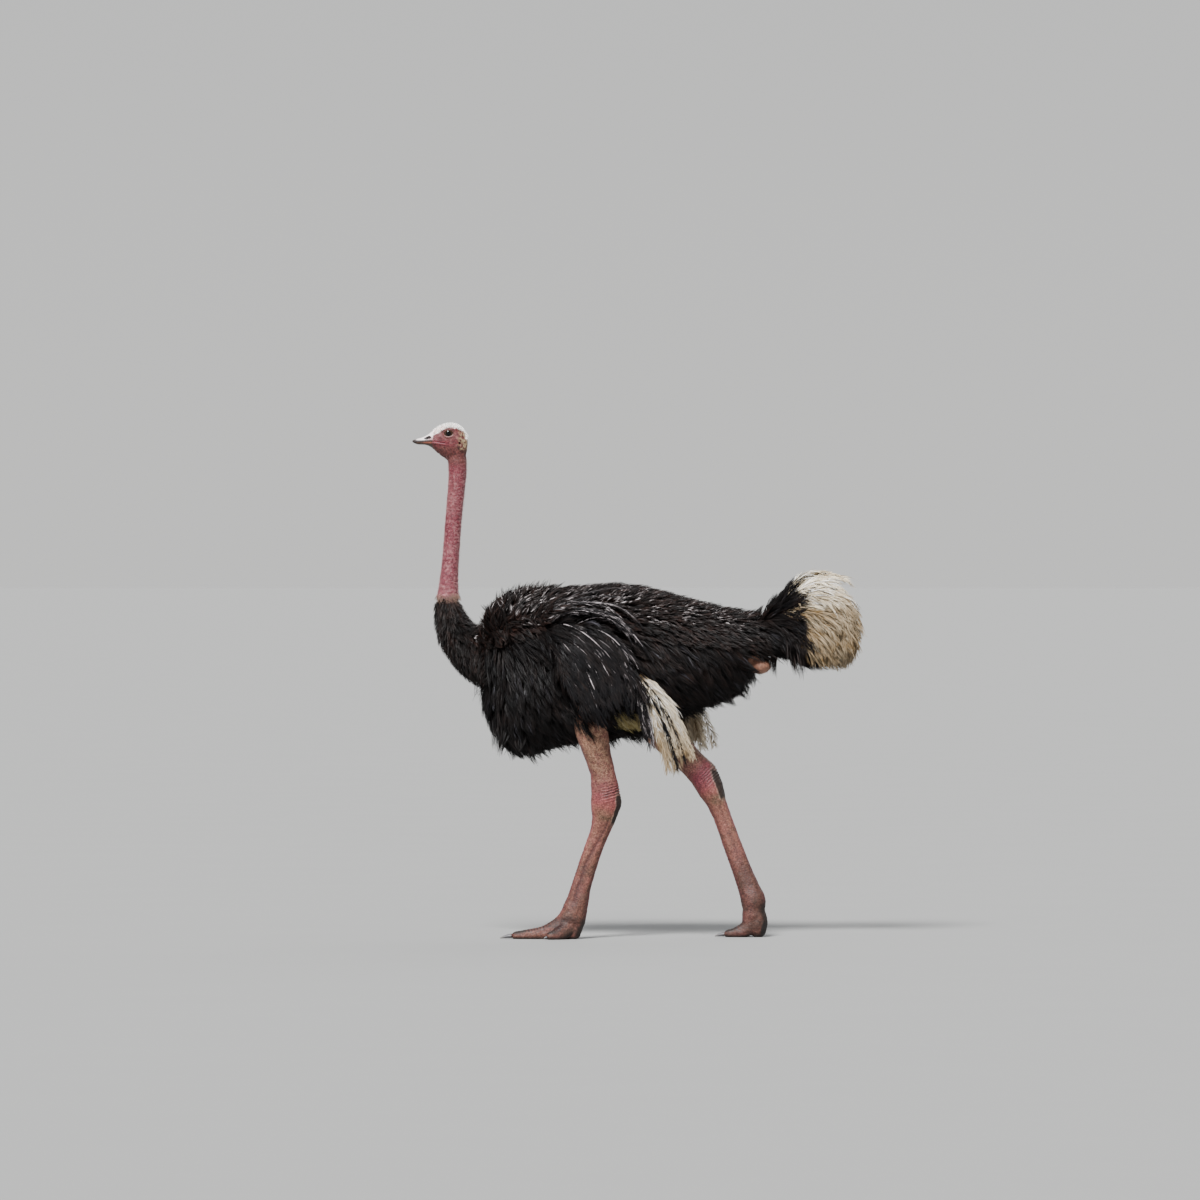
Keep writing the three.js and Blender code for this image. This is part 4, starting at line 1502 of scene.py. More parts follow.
@dataclass
class Bill:
    """The horn of the two bill halves, with nostrils and a nail at the tip."""

    frame: dict[str, Any]
    step: float = 0.00125
    gape: float = GAPE
    face: float = -0.866

    def whole(self) -> Field:
        """Both halves as one smooth solid.

        Returns:
            The solid.
        """
        box = ((-0.966, -0.044, 2.03), (-0.85, 0.044, 2.136))
        exact = Field.of_nodes(self.frame, ("head", "bill_upper", "bill_lower"), box, self.step, 0.01)
        return exact.softened(0.0028)

    def build(self, horn: Any) -> None:
        """Builds the upper and the lower half.

        Args:
            horn: Their material.
        """
        whole = self.whole()
        x, _, z = whole.axes()
        ends = x - self.face
        line = self.gape - 0.0009 * rise(x, -0.90, -0.935)
        nail = whole.ball((-0.942, 0.0, 2.0765), (0.009, 0.008, 0.0035))
        ridge = whole.rod((-0.930, 0.0, 2.0735), (-0.888, 0.0, 2.0885), (0.0072, 0.0098))
        upper = blended(blended(whole.values - 0.0004, nail, 0.004), ridge, 0.006)
        for side in Side:
            dent = whole.ball((-0.889, side.value * 0.026, 2.0925), (0.0145, 0.0095, 0.006))
            slit = whole.ball((-0.8885, side.value * 0.022, 2.0925), (0.0115, 0.012, 0.0042))
            upper = -blended(-upper, np.minimum(dent, slit), 0.002)
        upper = np.maximum(np.maximum(upper, ends), line - 0.0004 - z)
        lower = np.maximum(np.maximum(whole.values + 0.0002, ends), z - line - 0.0002)
        for name, values in (("upper", upper), ("lower", lower)):
            points, faces = whole.with_values(values).surface()
            tint = self._tint(points, name == "upper")
            Piece(f"bill_{name}_horn", points, faces, {}, tint).build(
                horn, Slot.HORN, [f"bill_{name}"]
            )

    def _tint(self, points: Array, upper: bool) -> Array:
        """The horn's colours.

        Args:
            points: The half's points.
            upper: Whether it is the upper half.

        Returns:
            A colour for each point.
        """
        x, _, z = points.T
        tip = rise(x, -0.931, -0.942)
        if upper:
            tint = np.tile((0.86, 0.78, 0.77), (len(points), 1))
            rosy = rise(x + 0.5 * (2.09 - z), -0.9, -0.872) * rise(z, 2.1, 2.088)
            tint = mixed(tint, (0.25, 0.07, 0.085), 0.75 * rosy)
            # Painted shade along the gape, where the two halves meet.
            tint = mixed(tint, (0.012, 0.006, 0.006), 0.97 * rise(z, self.gape + 0.0085, self.gape + 0.0055))
            # Painted shade: the nostrils' openings are near black.
            for centre, sizes in (
                ((-0.8825, 0.024, 2.0925), (0.0085, 0.03, 0.0072)),
                ((-0.8945, 0.022, 2.088), (0.0105, 0.03, 0.0056)),
            ):
                hole = spot(points, centre, sizes)
                tint = mixed(tint, (0.006, 0.003, 0.003), rise(hole, 0.3, 0.5))
            return mixed(tint, (0.02, 0.012, 0.01), 0.95 * tip)
        tint = np.tile((0.2, 0.055, 0.031), (len(points), 1))
        tint = mixed(tint, (0.04, 0.02, 0.012), rise(z, self.gape - 0.005, self.gape - 0.01))
        tint = mixed(tint, (0.035, 0.02, 0.011), 0.85 * rise(x, -0.895, -0.918))
        return mixed(tint, (0.02, 0.011, 0.009), 0.95 * tip)


@dataclass
class Claw:
    """One blunt claw."""

    frame: dict[str, Any]
    name: str

    def build(self, horn: Any) -> None:
        """Builds the claw as a smooth copy of its solid.

        Args:
            horn: Its material.
        """
        low, high = (np.array(corner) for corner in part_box(self.name))
        box = (low - 0.004, high + 0.004)
        claw = Field.of_nodes(self.frame, [self.name], box, 0.0012, 0.006).softened(0.0016)
        z = claw.axes()[2]
        points, faces = claw.with_values(np.maximum(claw.values - 0.0002, 0.0002 - z)).surface()
        points[:, 2] = np.maximum(points[:, 2], 0.0)
        length = high[0] - low[0]
        tint = np.tile((0.08, 0.078, 0.085), (len(points), 1))
        tint = mixed(tint, (0.15, 0.145, 0.135), rise(points[:, 0], low[0] + 0.55 * length, low[0]))
        tint = mixed(tint, (0.05, 0.035, 0.03), rise(points[:, 0], high[0] - 0.3 * length, high[0]))
        Piece(f"{self.name}_horn", points, faces, {}, tint).build(horn, Slot.CLAW, [self.name])


# ---- The coat ----


@dataclass(frozen=True)
class Flow:
    """Directions of growth, blended between named places: x, z, and the way in x and z."""

    rows: tuple[tuple[float, float, float, float], ...]

    def at(self, points: Array) -> Array:
        """The direction at each point.

        Args:
            points: The places.

        Returns:
            A direction for each place.
        """
        table = np.array(self.rows)
        gaps = (points[:, None, 0] - table[:, 0]) ** 2 + (points[:, None, 2] - table[:, 1]) ** 2
        weights = 1.0 / (gaps + 0.0006) ** 2
        ways = unit(table[:, 2:])
        mean = (weights @ ways) / weights.sum(axis=1, keepdims=True)
        return unit(np.stack([mean[:, 0], np.zeros(len(mean)), mean[:, 1]], axis=1))


@dataclass(frozen=True)
class Lay:
    """How one kind of plume grows, lies and splits into strands."""

    count: int
    length: tuple[float, float]
    strands: int = 9
    marks: int = 5
    spread: float = 0.012
    width: float = 0.0019
    root: float = 0.3
    tip: float = 0.2
    thick: float = 0.5
    lift: float = 0.35
    fold: float = 1.6  # how much of the lift is lost towards the tip
    hold: float = 0.75
    inertia: float = 0.35
    droop: float = 0.15
    top: float = 0.001
    loose: float = 0.006
    swirl: float = 0.3
    frizz: float = 0.002
    wave: float = 0.0
    short: float = 0.7
    # shine: the share of tufts that get a painted highlight
    shine: float = 0.3
    fine: float = 0.0  # how unevenly a tuft's strands get the painted highlight
    tilt: float = 0.5
    lock: int = 6  # how many tufts draw together
    drawn: float = 0.0  # how far


@dataclass(frozen=True)
class Vane:
    """The loose barbs on both sides of one kind of long plume's shaft."""

    barbs: int
    length: tuple[float, float]
    angle: tuple[float, float]
    droop: float
    lay: Lay
    bare: float = 0.06
    aged: tuple[float, float] = (0.0, -1.0)  # heights between which the barbs take more of the worn colour: partly wear, partly painted shade lower down
    lit: tuple[float, float] = (-2.0, -1.0)  # heights between which the barbs' painted highlight grows
    some: float = 0.6  # share of a highlighted plume's barbs that get the painted highlight
    hem: float = 0.0  # height under which barbs would hang too low and are left out
    edge: float = 0.0  # breadth of the band along the wing's upper edge where the painted highlight is strongest
    sheen: float = 0.1  # what is left of that painted highlight further from the edge


@dataclass
class Ground:
    """The skin that plumes and hairs are rooted in, face by face."""

    source: Field

    def __post_init__(self) -> None:
        """Measures the faces and puts them in a fixed order."""
        points, faces = self.source.surface()
        corners = points[faces]
        centre = corners.mean(axis=1)
        cross = np.cross(corners[:, 2] - corners[:, 0], corners[:, 3] - corners[:, 1])
        turn = np.arctan2(centre[:, 1], centre[:, 2] - 1.18)
        order = np.lexsort((turn, np.round(centre[:, 0], 2)))
        self.corners, self.centre = corners[order], centre[order]
        self.area = np.linalg.norm(cross, axis=1)[order] / 2.0

    def roots(self, density: Array, count: int, rng: np.random.Generator) -> Array:
        """Spreads roots evenly over the skin.

        Args:
            density: How thickly they stand on each face of the skin.
            count: How many.
            rng: The source of chance.

        Returns:
            The roots.
        """
        total = np.cumsum(self.area * density)
        picks = (np.arange(count) + rng.random(count)) * (total[-1] / count)
        face = np.minimum(np.searchsorted(total, picks), len(total) - 1)
        a, b = rng.random((2, count, 1))
        c = self.corners[face]
        return (c[:, 0] * (1 - a) + c[:, 1] * a) * (1 - b) + (c[:, 3] * (1 - a) + c[:, 2] * a) * b


def unwrapped(points: Array) -> Array:
    """Each root's place on an unwrap of the bird, along its middle and round it.

    Args:
        points: The roots.

    Returns:
        Two shares of the unwrap for each.
    """
    along, offset = NECK_WAY.nearest(points)
    u = along / NECK_WAY.marks[-1]
    way = unit(np.gradient(NECK_WAY.at(np.linspace(0, 1, 200)), axis=0))
    way = way[np.clip((u * 199).astype(int), 0, 199)]
    up = np.cross(way, (0.0, 1.0, 0.0))
    turn = np.arctan2(offset[:, 1], np.einsum("ij,ij->i", offset, up))
    return np.stack([0.003 + 0.99 * u, 0.003 + 0.99 * (turn / (2 * np.pi) + 0.5)], axis=1)


@dataclass
class Tufts:
    """Roots, directions and centre lines of many tufts."""

    axis: Array
    normal: Array
    place: Array


@dataclass
class Coat:
    """The way plumes grow over the body's outline."""

    outline: Field
    grain: Grain = field(default_factory=lambda: Grain(SEED + 1))

    def grow(self, root: Array, flow: Flow, lay: Lay, rng: np.random.Generator) -> Tufts:
        """Lets centre lines grow over the body from their roots.

        Args:
            root: The roots.
            flow: The lie of the plumes.
            lay: How they grow.
            rng: The source of chance.

        Returns:
            The tufts.
        """
        steps, count = lay.marks - 1, len(root)
        start = self.outline.at(root)
        length = rng.uniform(*lay.length, count)
        step = (length / steps)[:, None]
        swirl = [self.grain.at(root + shift, 0.075) for shift in (0.0, 1.3, 2.9)]
        sway = rng.normal(0, 0.12, (count, 3)) + lay.swirl * np.stack(swirl, axis=1)
        raised = 1.0 + 1.1 * self.grain.at(root + 5.1, 0.05) + rng.normal(0, 0.3, count)
        lift = lay.lift * np.clip(raised, 0.1, 2.6)[:, None]
        over = lay.top + lay.loose * (0.7 * np.clip(raised - 0.6, 0, 2) + 1.2 * rng.random(count) ** 3)
        line, normals = [root], [self.outline.outward(root)]
        past = unit(flow.at(root) + normals[0] * 0.3)
        for i in range(1, lay.marks):
            t = i / steps
            point, normal = line[-1], normals[-1]
            way = flow.at(point) + sway
            way = unit(way - normal * np.einsum("ij,ij->i", way, normal)[:, None])
            way = way + normal * lift * (1.2 - lay.fold * t) + past * lay.inertia
            way = way + np.array([0.0, 0.0, -lay.droop * t])
            past = unit(way)
            point = point + past * step
            normal = self.outline.outward(point)
            target = start + (over - start) * min(1.0, 1.15 * t**0.7)
            gap = (target - self.outline.at(point))[:, None]
            point = point + normal * gap * lay.hold
            line.append(point)
            normals.append(normal)
        axis = self.gathered(np.stack(line, axis=1), lay, rng)
        return Tufts(axis, np.stack(normals, axis=1), unwrapped(root))

    @staticmethod
    def gathered(axis: Array, lay: Lay, rng: np.random.Generator) -> Array:
        """Draws the tips of neighbouring tufts together into locks.

        Args:
            axis: The tufts' middle lines.
            lay: How the plume lies.
            rng: The random draws.

        Returns:
            The middle lines, drawn together.
        """
        if not lay.drawn:
            return axis
        count, marks = axis.shape[:2]
        leads = rng.choice(count, max(1, count // lay.lock), replace=False)
        tree = KDTree(len(leads))
        for i, lead in enumerate(leads):
            tree.insert(axis[lead, marks // 2], i)
        tree.balance()
        own = leads[[tree.find(point)[1] for point in axis[:, marks // 2]]]
        pull = lay.drawn * np.linspace(0, 1, marks)[:, None] ** 1.5
        return axis + (axis[own] - axis) * pull

    def barbs(self, shafts: Tufts, vane: Vane, rng: np.random.Generator) -> tuple[Tufts, Array]:
        """Grows the barbs of long plumes.

        Args:
            shafts: The plumes' shafts.
            vane: How the barbs stand.
            rng: The source of chance.

        Returns:
            The barbs, and the plume that each one grows from.
        """
        count, marks = shafts.axis.shape[:2]
        owner = np.arange(count).repeat(2 * vane.barbs)
        t = np.linspace(vane.bare, 0.99, vane.barbs) + rng.normal(0, 0.01, (count, 2, vane.barbs))
        t = np.clip(t, vane.bare, 1.0).reshape(-1)
        sign = np.tile([1.0, -1.0], (count, 1)).repeat(vane.barbs, axis=1).reshape(-1)
        cell = np.minimum((t * (marks - 1)).astype(int), marks - 2)
        share = (t * (marks - 1) - cell)[:, None]

        def between(table: Array) -> Array:
            """Reads a table of the shafts at the barbs' roots."""
            return table[owner, cell] * (1 - share) + table[owner, cell + 1] * share

        along = unit(between(unit(np.gradient(shafts.axis, axis=1))))
        normal = unit(between(shafts.normal))
        side = unit(np.cross(along, normal)) * sign[:, None]
        angle = np.interp(t, [0, 1], vane.angle) * rng.normal(1.0, 0.18, len(t))
        way = along * np.cos(angle)[:, None] + side * np.sin(angle)[:, None]
        way = way + normal * rng.normal(0.02, 0.1, (len(t), 1)) + rng.normal(0, 0.05, way.shape)
        profile = np.interp(t, [0.0, 0.25, 0.6, 1.0], [0.5, 1.0, 1.0, 0.55])
        step = (rng.uniform(*vane.length, len(t)) * profile / (vane.lay.marks - 1))[:, None]
        line = [between(shafts.axis)]
        for i in range(1, vane.lay.marks):
            pull = vane.droop * i / vane.lay.marks
            way = unit(way + along * 0.06 + np.array([0.0, 0.0, -pull]))
            line.append(line[-1] + way * step)
        axis = np.stack(line, axis=1).reshape(count, 2, vane.barbs, vane.lay.marks, 3)
        each = np.arange(vane.barbs)
        lead = np.minimum(each // vane.lay.lock * vane.lay.lock + vane.lay.lock // 2, vane.barbs - 1)
        pull = vane.lay.drawn * np.linspace(0, 1, vane.lay.marks)[:, None] ** 1.3
        axis = (axis + (axis[:, :, lead] - axis) * pull).reshape(-1, vane.lay.marks, 3)
        normals = np.repeat(normal[:, None], vane.lay.marks, axis=1)
        return Tufts(axis, normals, unwrapped(axis[:, 0])), owner

    @staticmethod
    def lit(count: int, lay: Lay, rng: np.random.Generator) -> Array:
        """How strongly each of many tufts gets a painted highlight."""
        return (rng.random(count) < lay.shine) * rng.uniform(0.6, 1.0, count)

    def strands(
        self, name: str, tufts: Tufts, lay: Lay, rng: np.random.Generator, worn: Array, lit: Array
    ) -> list[Piece]:
        """Splits each tuft into strands and makes ribbons of them.

        Args:
            name: The piece's name, which gets a number where there are several.
            tufts: The centre lines.
            lay: How the strands spread.
            rng: The source of chance.
            worn: How worn and pale each tuft is.
            lit: How strongly each tuft gets a painted highlight.

        Returns:
            The pieces.
        """
        count, marks = tufts.axis.shape[:2]
        shape = (count, lay.strands)
        along = unit(np.gradient(tufts.axis, axis=1))
        side = unit(np.cross(along, tufts.normal))
        up = np.cross(side, along)
        turn = rng.uniform(0, 2 * np.pi, shape)
        away = np.sqrt(rng.random(shape))
        a, b = away * np.cos(turn), away * np.sin(turn) * lay.thick
        reach = rng.uniform(lay.short, 1.0, shape)
        phase = rng.uniform(0, 2 * np.pi, (count, 1)) + 0.5 * rng.normal(size=shape)
        tilt = rng.normal(0, lay.tilt, shape)
        size = lay.spread * rng.uniform(0.75, 1.25, (count, 1))
        rows, wides = [], []
        drift = np.zeros((*shape, 3))
        index = np.arange(count)[:, None]
        for i in range(marks):
            t = i / (marks - 1)
            place = reach * t * (marks - 1)
            cell = np.minimum(place.astype(int), marks - 2)
            share = (place - cell)[..., None]
            middle, s, u = (
                table[index, cell] * (1 - share) + table[index, cell + 1] * share
                for table in (tufts.axis, side, up)
            )
            flare = np.interp(t, [0.0, 0.45, 1.0], [lay.root, 1.0, lay.tip])
            wave = lay.wave * np.sin(phase + t * 7.0) * t
            point = middle + s * (a * size * flare + wave)[..., None]
            point = point + u * (b * size * flare)[..., None]
            drift = drift + rng.normal(0, lay.frizz, drift.shape) * min(t * 1.5, 1.0)
            wide = lay.width * np.interp(t, [0.0, 0.5, 0.85, 1.0], [0.7, 1.0, 0.62, 0.12])
            flat = s * np.cos(tilt)[..., None] + u * np.sin(tilt)[..., None]
            rows.append(point + drift)
            wides.append(flat * wide / 2)
        middle, wide = np.stack(rows, axis=2), np.stack(wides, axis=2)
        points = np.stack([middle - wide, middle + wide], axis=3)

        tone = np.clip(rng.normal(0.58, 0.3, (count, 1)) + rng.normal(0, 0.12, shape), 0, 1)
        middle_share = 0.25 + 0.75 * np.exp(-((a / 0.5) ** 2))
        # Painted highlight share of each strand, strongest in the tuft's middle.
        highlight_share = lit[:, None] * middle_share * (1.0 - lay.fine * rng.random(shape))
        streak = np.clip(1.1 * highlight_share + 0.35 * rng.random(shape), 0, 1)
        spread = np.ones((count, lay.strands, marks, 2))
        t = np.linspace(0, 1, marks)[None, None, :, None] * spread
        shares = {
            "tip": t,
            "tone": tone[..., None, None] * spread,
            "streak": streak[..., None, None] * spread,
            "worn": worn[:, None, None, None] * spread,
        }
        u = tufts.place[:, 0, None, None, None] + PATCH * (t - 0.5)
        column = (np.arange(lay.strands) / lay.strands)[None, :, None, None]
        edge = np.array([0.0, 1.0 / lay.strands])[None, None, None, :]
        v = tufts.place[:, 1, None, None, None] + PATCH * (column + edge - 0.5) * spread
        unwrap = np.clip(np.stack([u, v], axis=-1), 0.0, 1.0)

        per_piece = max(1, PIECE_FACES // (lay.strands * (marks - 1)))
        parts = math.ceil(count / per_piece)
        pieces = []
        for i, own in enumerate(np.array_split(np.arange(count), parts)):
            pieces.append(
                Piece(
                    f"{name}_{i + 1}" if parts > 1 else name,
                    points[own].reshape(-1, 3),
                    ribbons(len(own) * lay.strands, marks),
                    {key: value[own].reshape(-1) for key, value in shares.items()},
                    None,
                    unwrap[own].reshape(-1, 2),
                )
            )
        return pieces

    def plumes(
        self, name: str, shafts: Tufts, vane: Vane, rng: np.random.Generator, worn: Array
    ) -> list[Piece]:
        """Long plumes: their barbs, and their shafts as one more piece.

        Args:
            name: The pieces' name.
            shafts: The shafts.
            vane: How the barbs stand.
            rng: The source of chance.
            worn: How worn and pale each plume is.

        Returns:
            The pieces.
        """
        barbs, owner = self.barbs(shafts, vane, rng)
        held = barbs.axis[:, -1, 2] > vane.hem + rng.normal(0, 0.006, len(owner))
        barbs, owner = Tufts(barbs.axis[held], barbs.normal[held], barbs.place[held]), owner[held]
        lit = self.lit(len(worn), vane.lay, rng)
        height = barbs.axis[:, 2, 2]
        aged = np.clip(worn[owner] + 0.75 * rise(height, *vane.aged), 0.0, 1.0)
        some = rng.random(len(owner)) < vane.some
        # Painted highlight on the barbs, stronger higher up and, on the wing, near its upper edge.
        glow = lit[owner] * some * (0.12 + 0.88 * rise(height, *vane.lit))
        if vane.edge:
            flat = barbs.axis[:, 2] * (1.0, 0.0, 1.0)
            _, away = WING_EDGE.nearest(flat)
            near = np.exp(-((np.linalg.norm(away, axis=1) / vane.edge) ** 2))
            glow = glow * (vane.sheen + (1.0 - vane.sheen) * near)
        pieces = self.strands(name, barbs, vane.lay, rng, aged, glow)
        quill = Lay(1, (0, 0), 1, width=0.0032, frizz=0.0, spread=0.0, short=0.98, tilt=0.2)
        middle = shafts.axis[:, shafts.axis.shape[1] // 2, 2]
        # Painted highlight along the shafts, stronger higher up.
        own = lit * (0.1 + 0.9 * rise(middle, *vane.lit))
        proud = Tufts(shafts.axis + 0.0015 * shafts.normal, shafts.normal, shafts.place)
        return pieces + self.strands(f"{name}_shafts", proud, quill, rng, worn, own)


BODY_FLOW = Flow(
    (
        (-0.83, 1.40, 0.02, -1.0), (-0.83, 1.30, 0.15, -1.0), (-0.79, 1.20, 0.35, -0.9),
        (-0.72, 1.12, 0.55, -0.8), (-0.77, 1.38, 0.1, -1.0), (-0.72, 1.33, 0.6, -0.75),
        (-0.75, 1.25, 0.35, -0.9), (-0.68, 1.33, 0.35, 0.85), (-0.64, 1.39, 0.5, 0.8),
        (-0.58, 1.44, 0.8, 0.5), (-0.50, 1.47, 0.92, 0.3), (-0.40, 1.48, 0.95, 0.12),
        (-0.61, 1.33, 0.35, 0.9), (-0.62, 1.25, 0.75, -0.5), (-0.53, 1.38, 0.6, 0.75),
        (-0.53, 1.28, 0.8, -0.5), (-0.45, 1.40, 0.9, 0.3), (-0.42, 1.30, 0.8, -0.6),
        (-0.66, 1.16, 0.35, -0.95), (-0.65, 1.02, 0.12, -1.0), (-0.62, 0.90, 0.25, -1.0),
        (-0.55, 1.10, 0.4, -0.9), (-0.50, 0.80, 0.5, -0.85), (-0.45, 1.00, 0.4, -0.9),
        (-0.30, 0.82, 0.6, -0.8), (-0.10, 0.84, 0.6, -0.8), (0.05, 0.90, 0.65, -0.75),
        (-0.30, 1.00, 0.5, -0.85), (-0.10, 1.00, 0.6, -0.8), (0.10, 1.02, 0.7, -0.7),
        (-0.20, 1.48, 1.0, -0.1), (0.00, 1.46, 1.0, -0.15), (0.20, 1.42, 1.0, -0.2),
        (0.40, 1.38, 1.0, -0.12), (0.05, 1.34, 0.9, -0.42), (0.22, 1.30, 0.9, -0.45),
        (0.42, 1.28, 0.95, -0.3), (0.12, 1.16, 0.8, -0.6), (0.30, 1.12, 0.75, -0.65),
        (0.46, 1.18, 0.85, -0.5), (0.36, 1.02, 0.65, -0.75), (0.52, 1.40, 0.9, 0.45),
        (0.60, 1.46, 0.85, 0.5), (0.67, 1.50, 0.9, 0.4), (0.60, 1.33, 1.0, 0.1),
        (0.58, 1.20, 0.85, -0.5), (0.67, 1.17, 0.7, -0.7),
    )
)
RUFF_FLOW = Flow(
    (
        (-0.68, 1.20, -0.25, 0.9), (-0.67, 1.28, -0.45, 0.9), (-0.64, 1.37, -0.3, 0.95),
        (-0.58, 1.43, 0.0, 1.0), (-0.50, 1.46, 0.35, 0.9), (-0.42, 1.47, 0.7, 0.65),
        (-0.36, 1.48, 0.9, 0.35), (-0.58, 1.30, 0.1, 0.9), (-0.48, 1.36, 0.5, 0.7),
    )
)
WING_FLOW = Flow(
    (
        (-0.42, 1.36, 0.85, 0.45), (-0.38, 1.39, 0.95, 0.25), (-0.30, 1.407, 1.0, -0.02),
        (-0.20, 1.385, 0.9, -0.42), (-0.12, 1.325, 0.65, -0.76), (-0.0625, 1.2365, 0.42, -0.9),
        (-0.0256, 1.10, 0.25, -0.97), (-0.01, 1.0, 0.15, -1.0), (0.01, 0.88, 0.08, -1.0),
        (-0.38, 1.33, 0.95, -0.15), (-0.29, 1.33, 0.85, -0.5), (-0.21, 1.25, 0.7, -0.7),
        (-0.14, 1.14, 0.5, -0.87), (-0.10, 1.02, 0.4, -0.92), (-0.38, 1.27, 0.75, -0.65),
        (-0.32, 1.18, 0.6, -0.8), (-0.25, 1.05, 0.5, -0.87), (-0.18, 0.95, 0.45, -0.9),
        (-0.08, 0.92, 0.3, -0.95),
    )
)
TAIL_FLOW = Flow(
    (
        (0.68, 1.48, 0.9, 0.35), (0.74, 1.52, 1.0, 0.05), (0.83, 1.52, 0.92, -0.35),
        (0.90, 1.49, 0.4, -0.92), (0.94, 1.38, 0.05, -1.0), (0.94, 1.26, 0.0, -1.0),
        (0.70, 1.36, 1.0, -0.1), (0.78, 1.40, 0.95, -0.3), (0.85, 1.34, 0.35, -0.95),
        (0.865, 1.42, 0.15, -1.0), (0.72, 1.24, 0.8, -0.6), (0.80, 1.22, 0.45, -0.9),
        (0.88, 1.20, 0.1, -1.0), (0.70, 1.14, 0.6, -0.8),
    )
)


class Kind(Enum):
    """The kinds of plume by colour."""

    BODY = "body_plumes"
    BACK = "back_plumes"
    WING = "wing_plumes"
    WHITE = "white_plumes"
    FLANK_DOWN = "flank_down"


# The fourth colour of each finish is its painted highlight.
KINDS = {
    Kind.BODY: PlumeFinish(
        Kind.BODY.value, (0.0008, 0.0006, 0.0006), (0.0034, 0.0028, 0.003),
        (0.022, 0.0115, 0.0085), (0.05, 0.048, 0.057), gloss=0.16,
    ),
    Kind.BACK: PlumeFinish(
        Kind.BACK.value, (0.001, 0.0008, 0.0008), (0.0042, 0.0032, 0.003),
        (0.036, 0.0165, 0.012), (0.66, 0.6, 0.6), (0.42, 0.54, 0.68, 0.82), gloss=0.2,
    ),
    Kind.WING: PlumeFinish(
        Kind.WING.value, (0.0009, 0.0008, 0.001), (0.0026, 0.0024, 0.0034),
        (0.022, 0.014, 0.0115), (0.5, 0.45, 0.46), (0.0, 0.2, 0.8, 1.0), gloss=0.14, depth=0.75,
    ),
    Kind.WHITE: PlumeFinish(
        Kind.WHITE.value, (0.12, 0.075, 0.032), (0.93, 0.82, 0.62),
        (0.18, 0.108, 0.04), (0.97, 0.96, 0.93), (0.05, 0.35, 0.95, 1.05), 0.6, 0.25, 0.8, 0.5,
    ),
    # The flank down's olive is partly its own cream colour and partly a painted green reflection.
    Kind.FLANK_DOWN: PlumeFinish(
        Kind.FLANK_DOWN.value, (0.07, 0.05, 0.018), (0.52, 0.43, 0.19),
        (0.22, 0.155, 0.06), (0.65, 0.57, 0.36), (0.1, 0.4, 0.9, 1.01), 0.6, 0.2,
    ),
}


@dataclass(frozen=True)
class Patch:
    """One stretch of the coat."""

    name: str
    kind: Kind
    lay: Lay
    worn: tuple[float, float]
    flow: Flow = BODY_FLOW


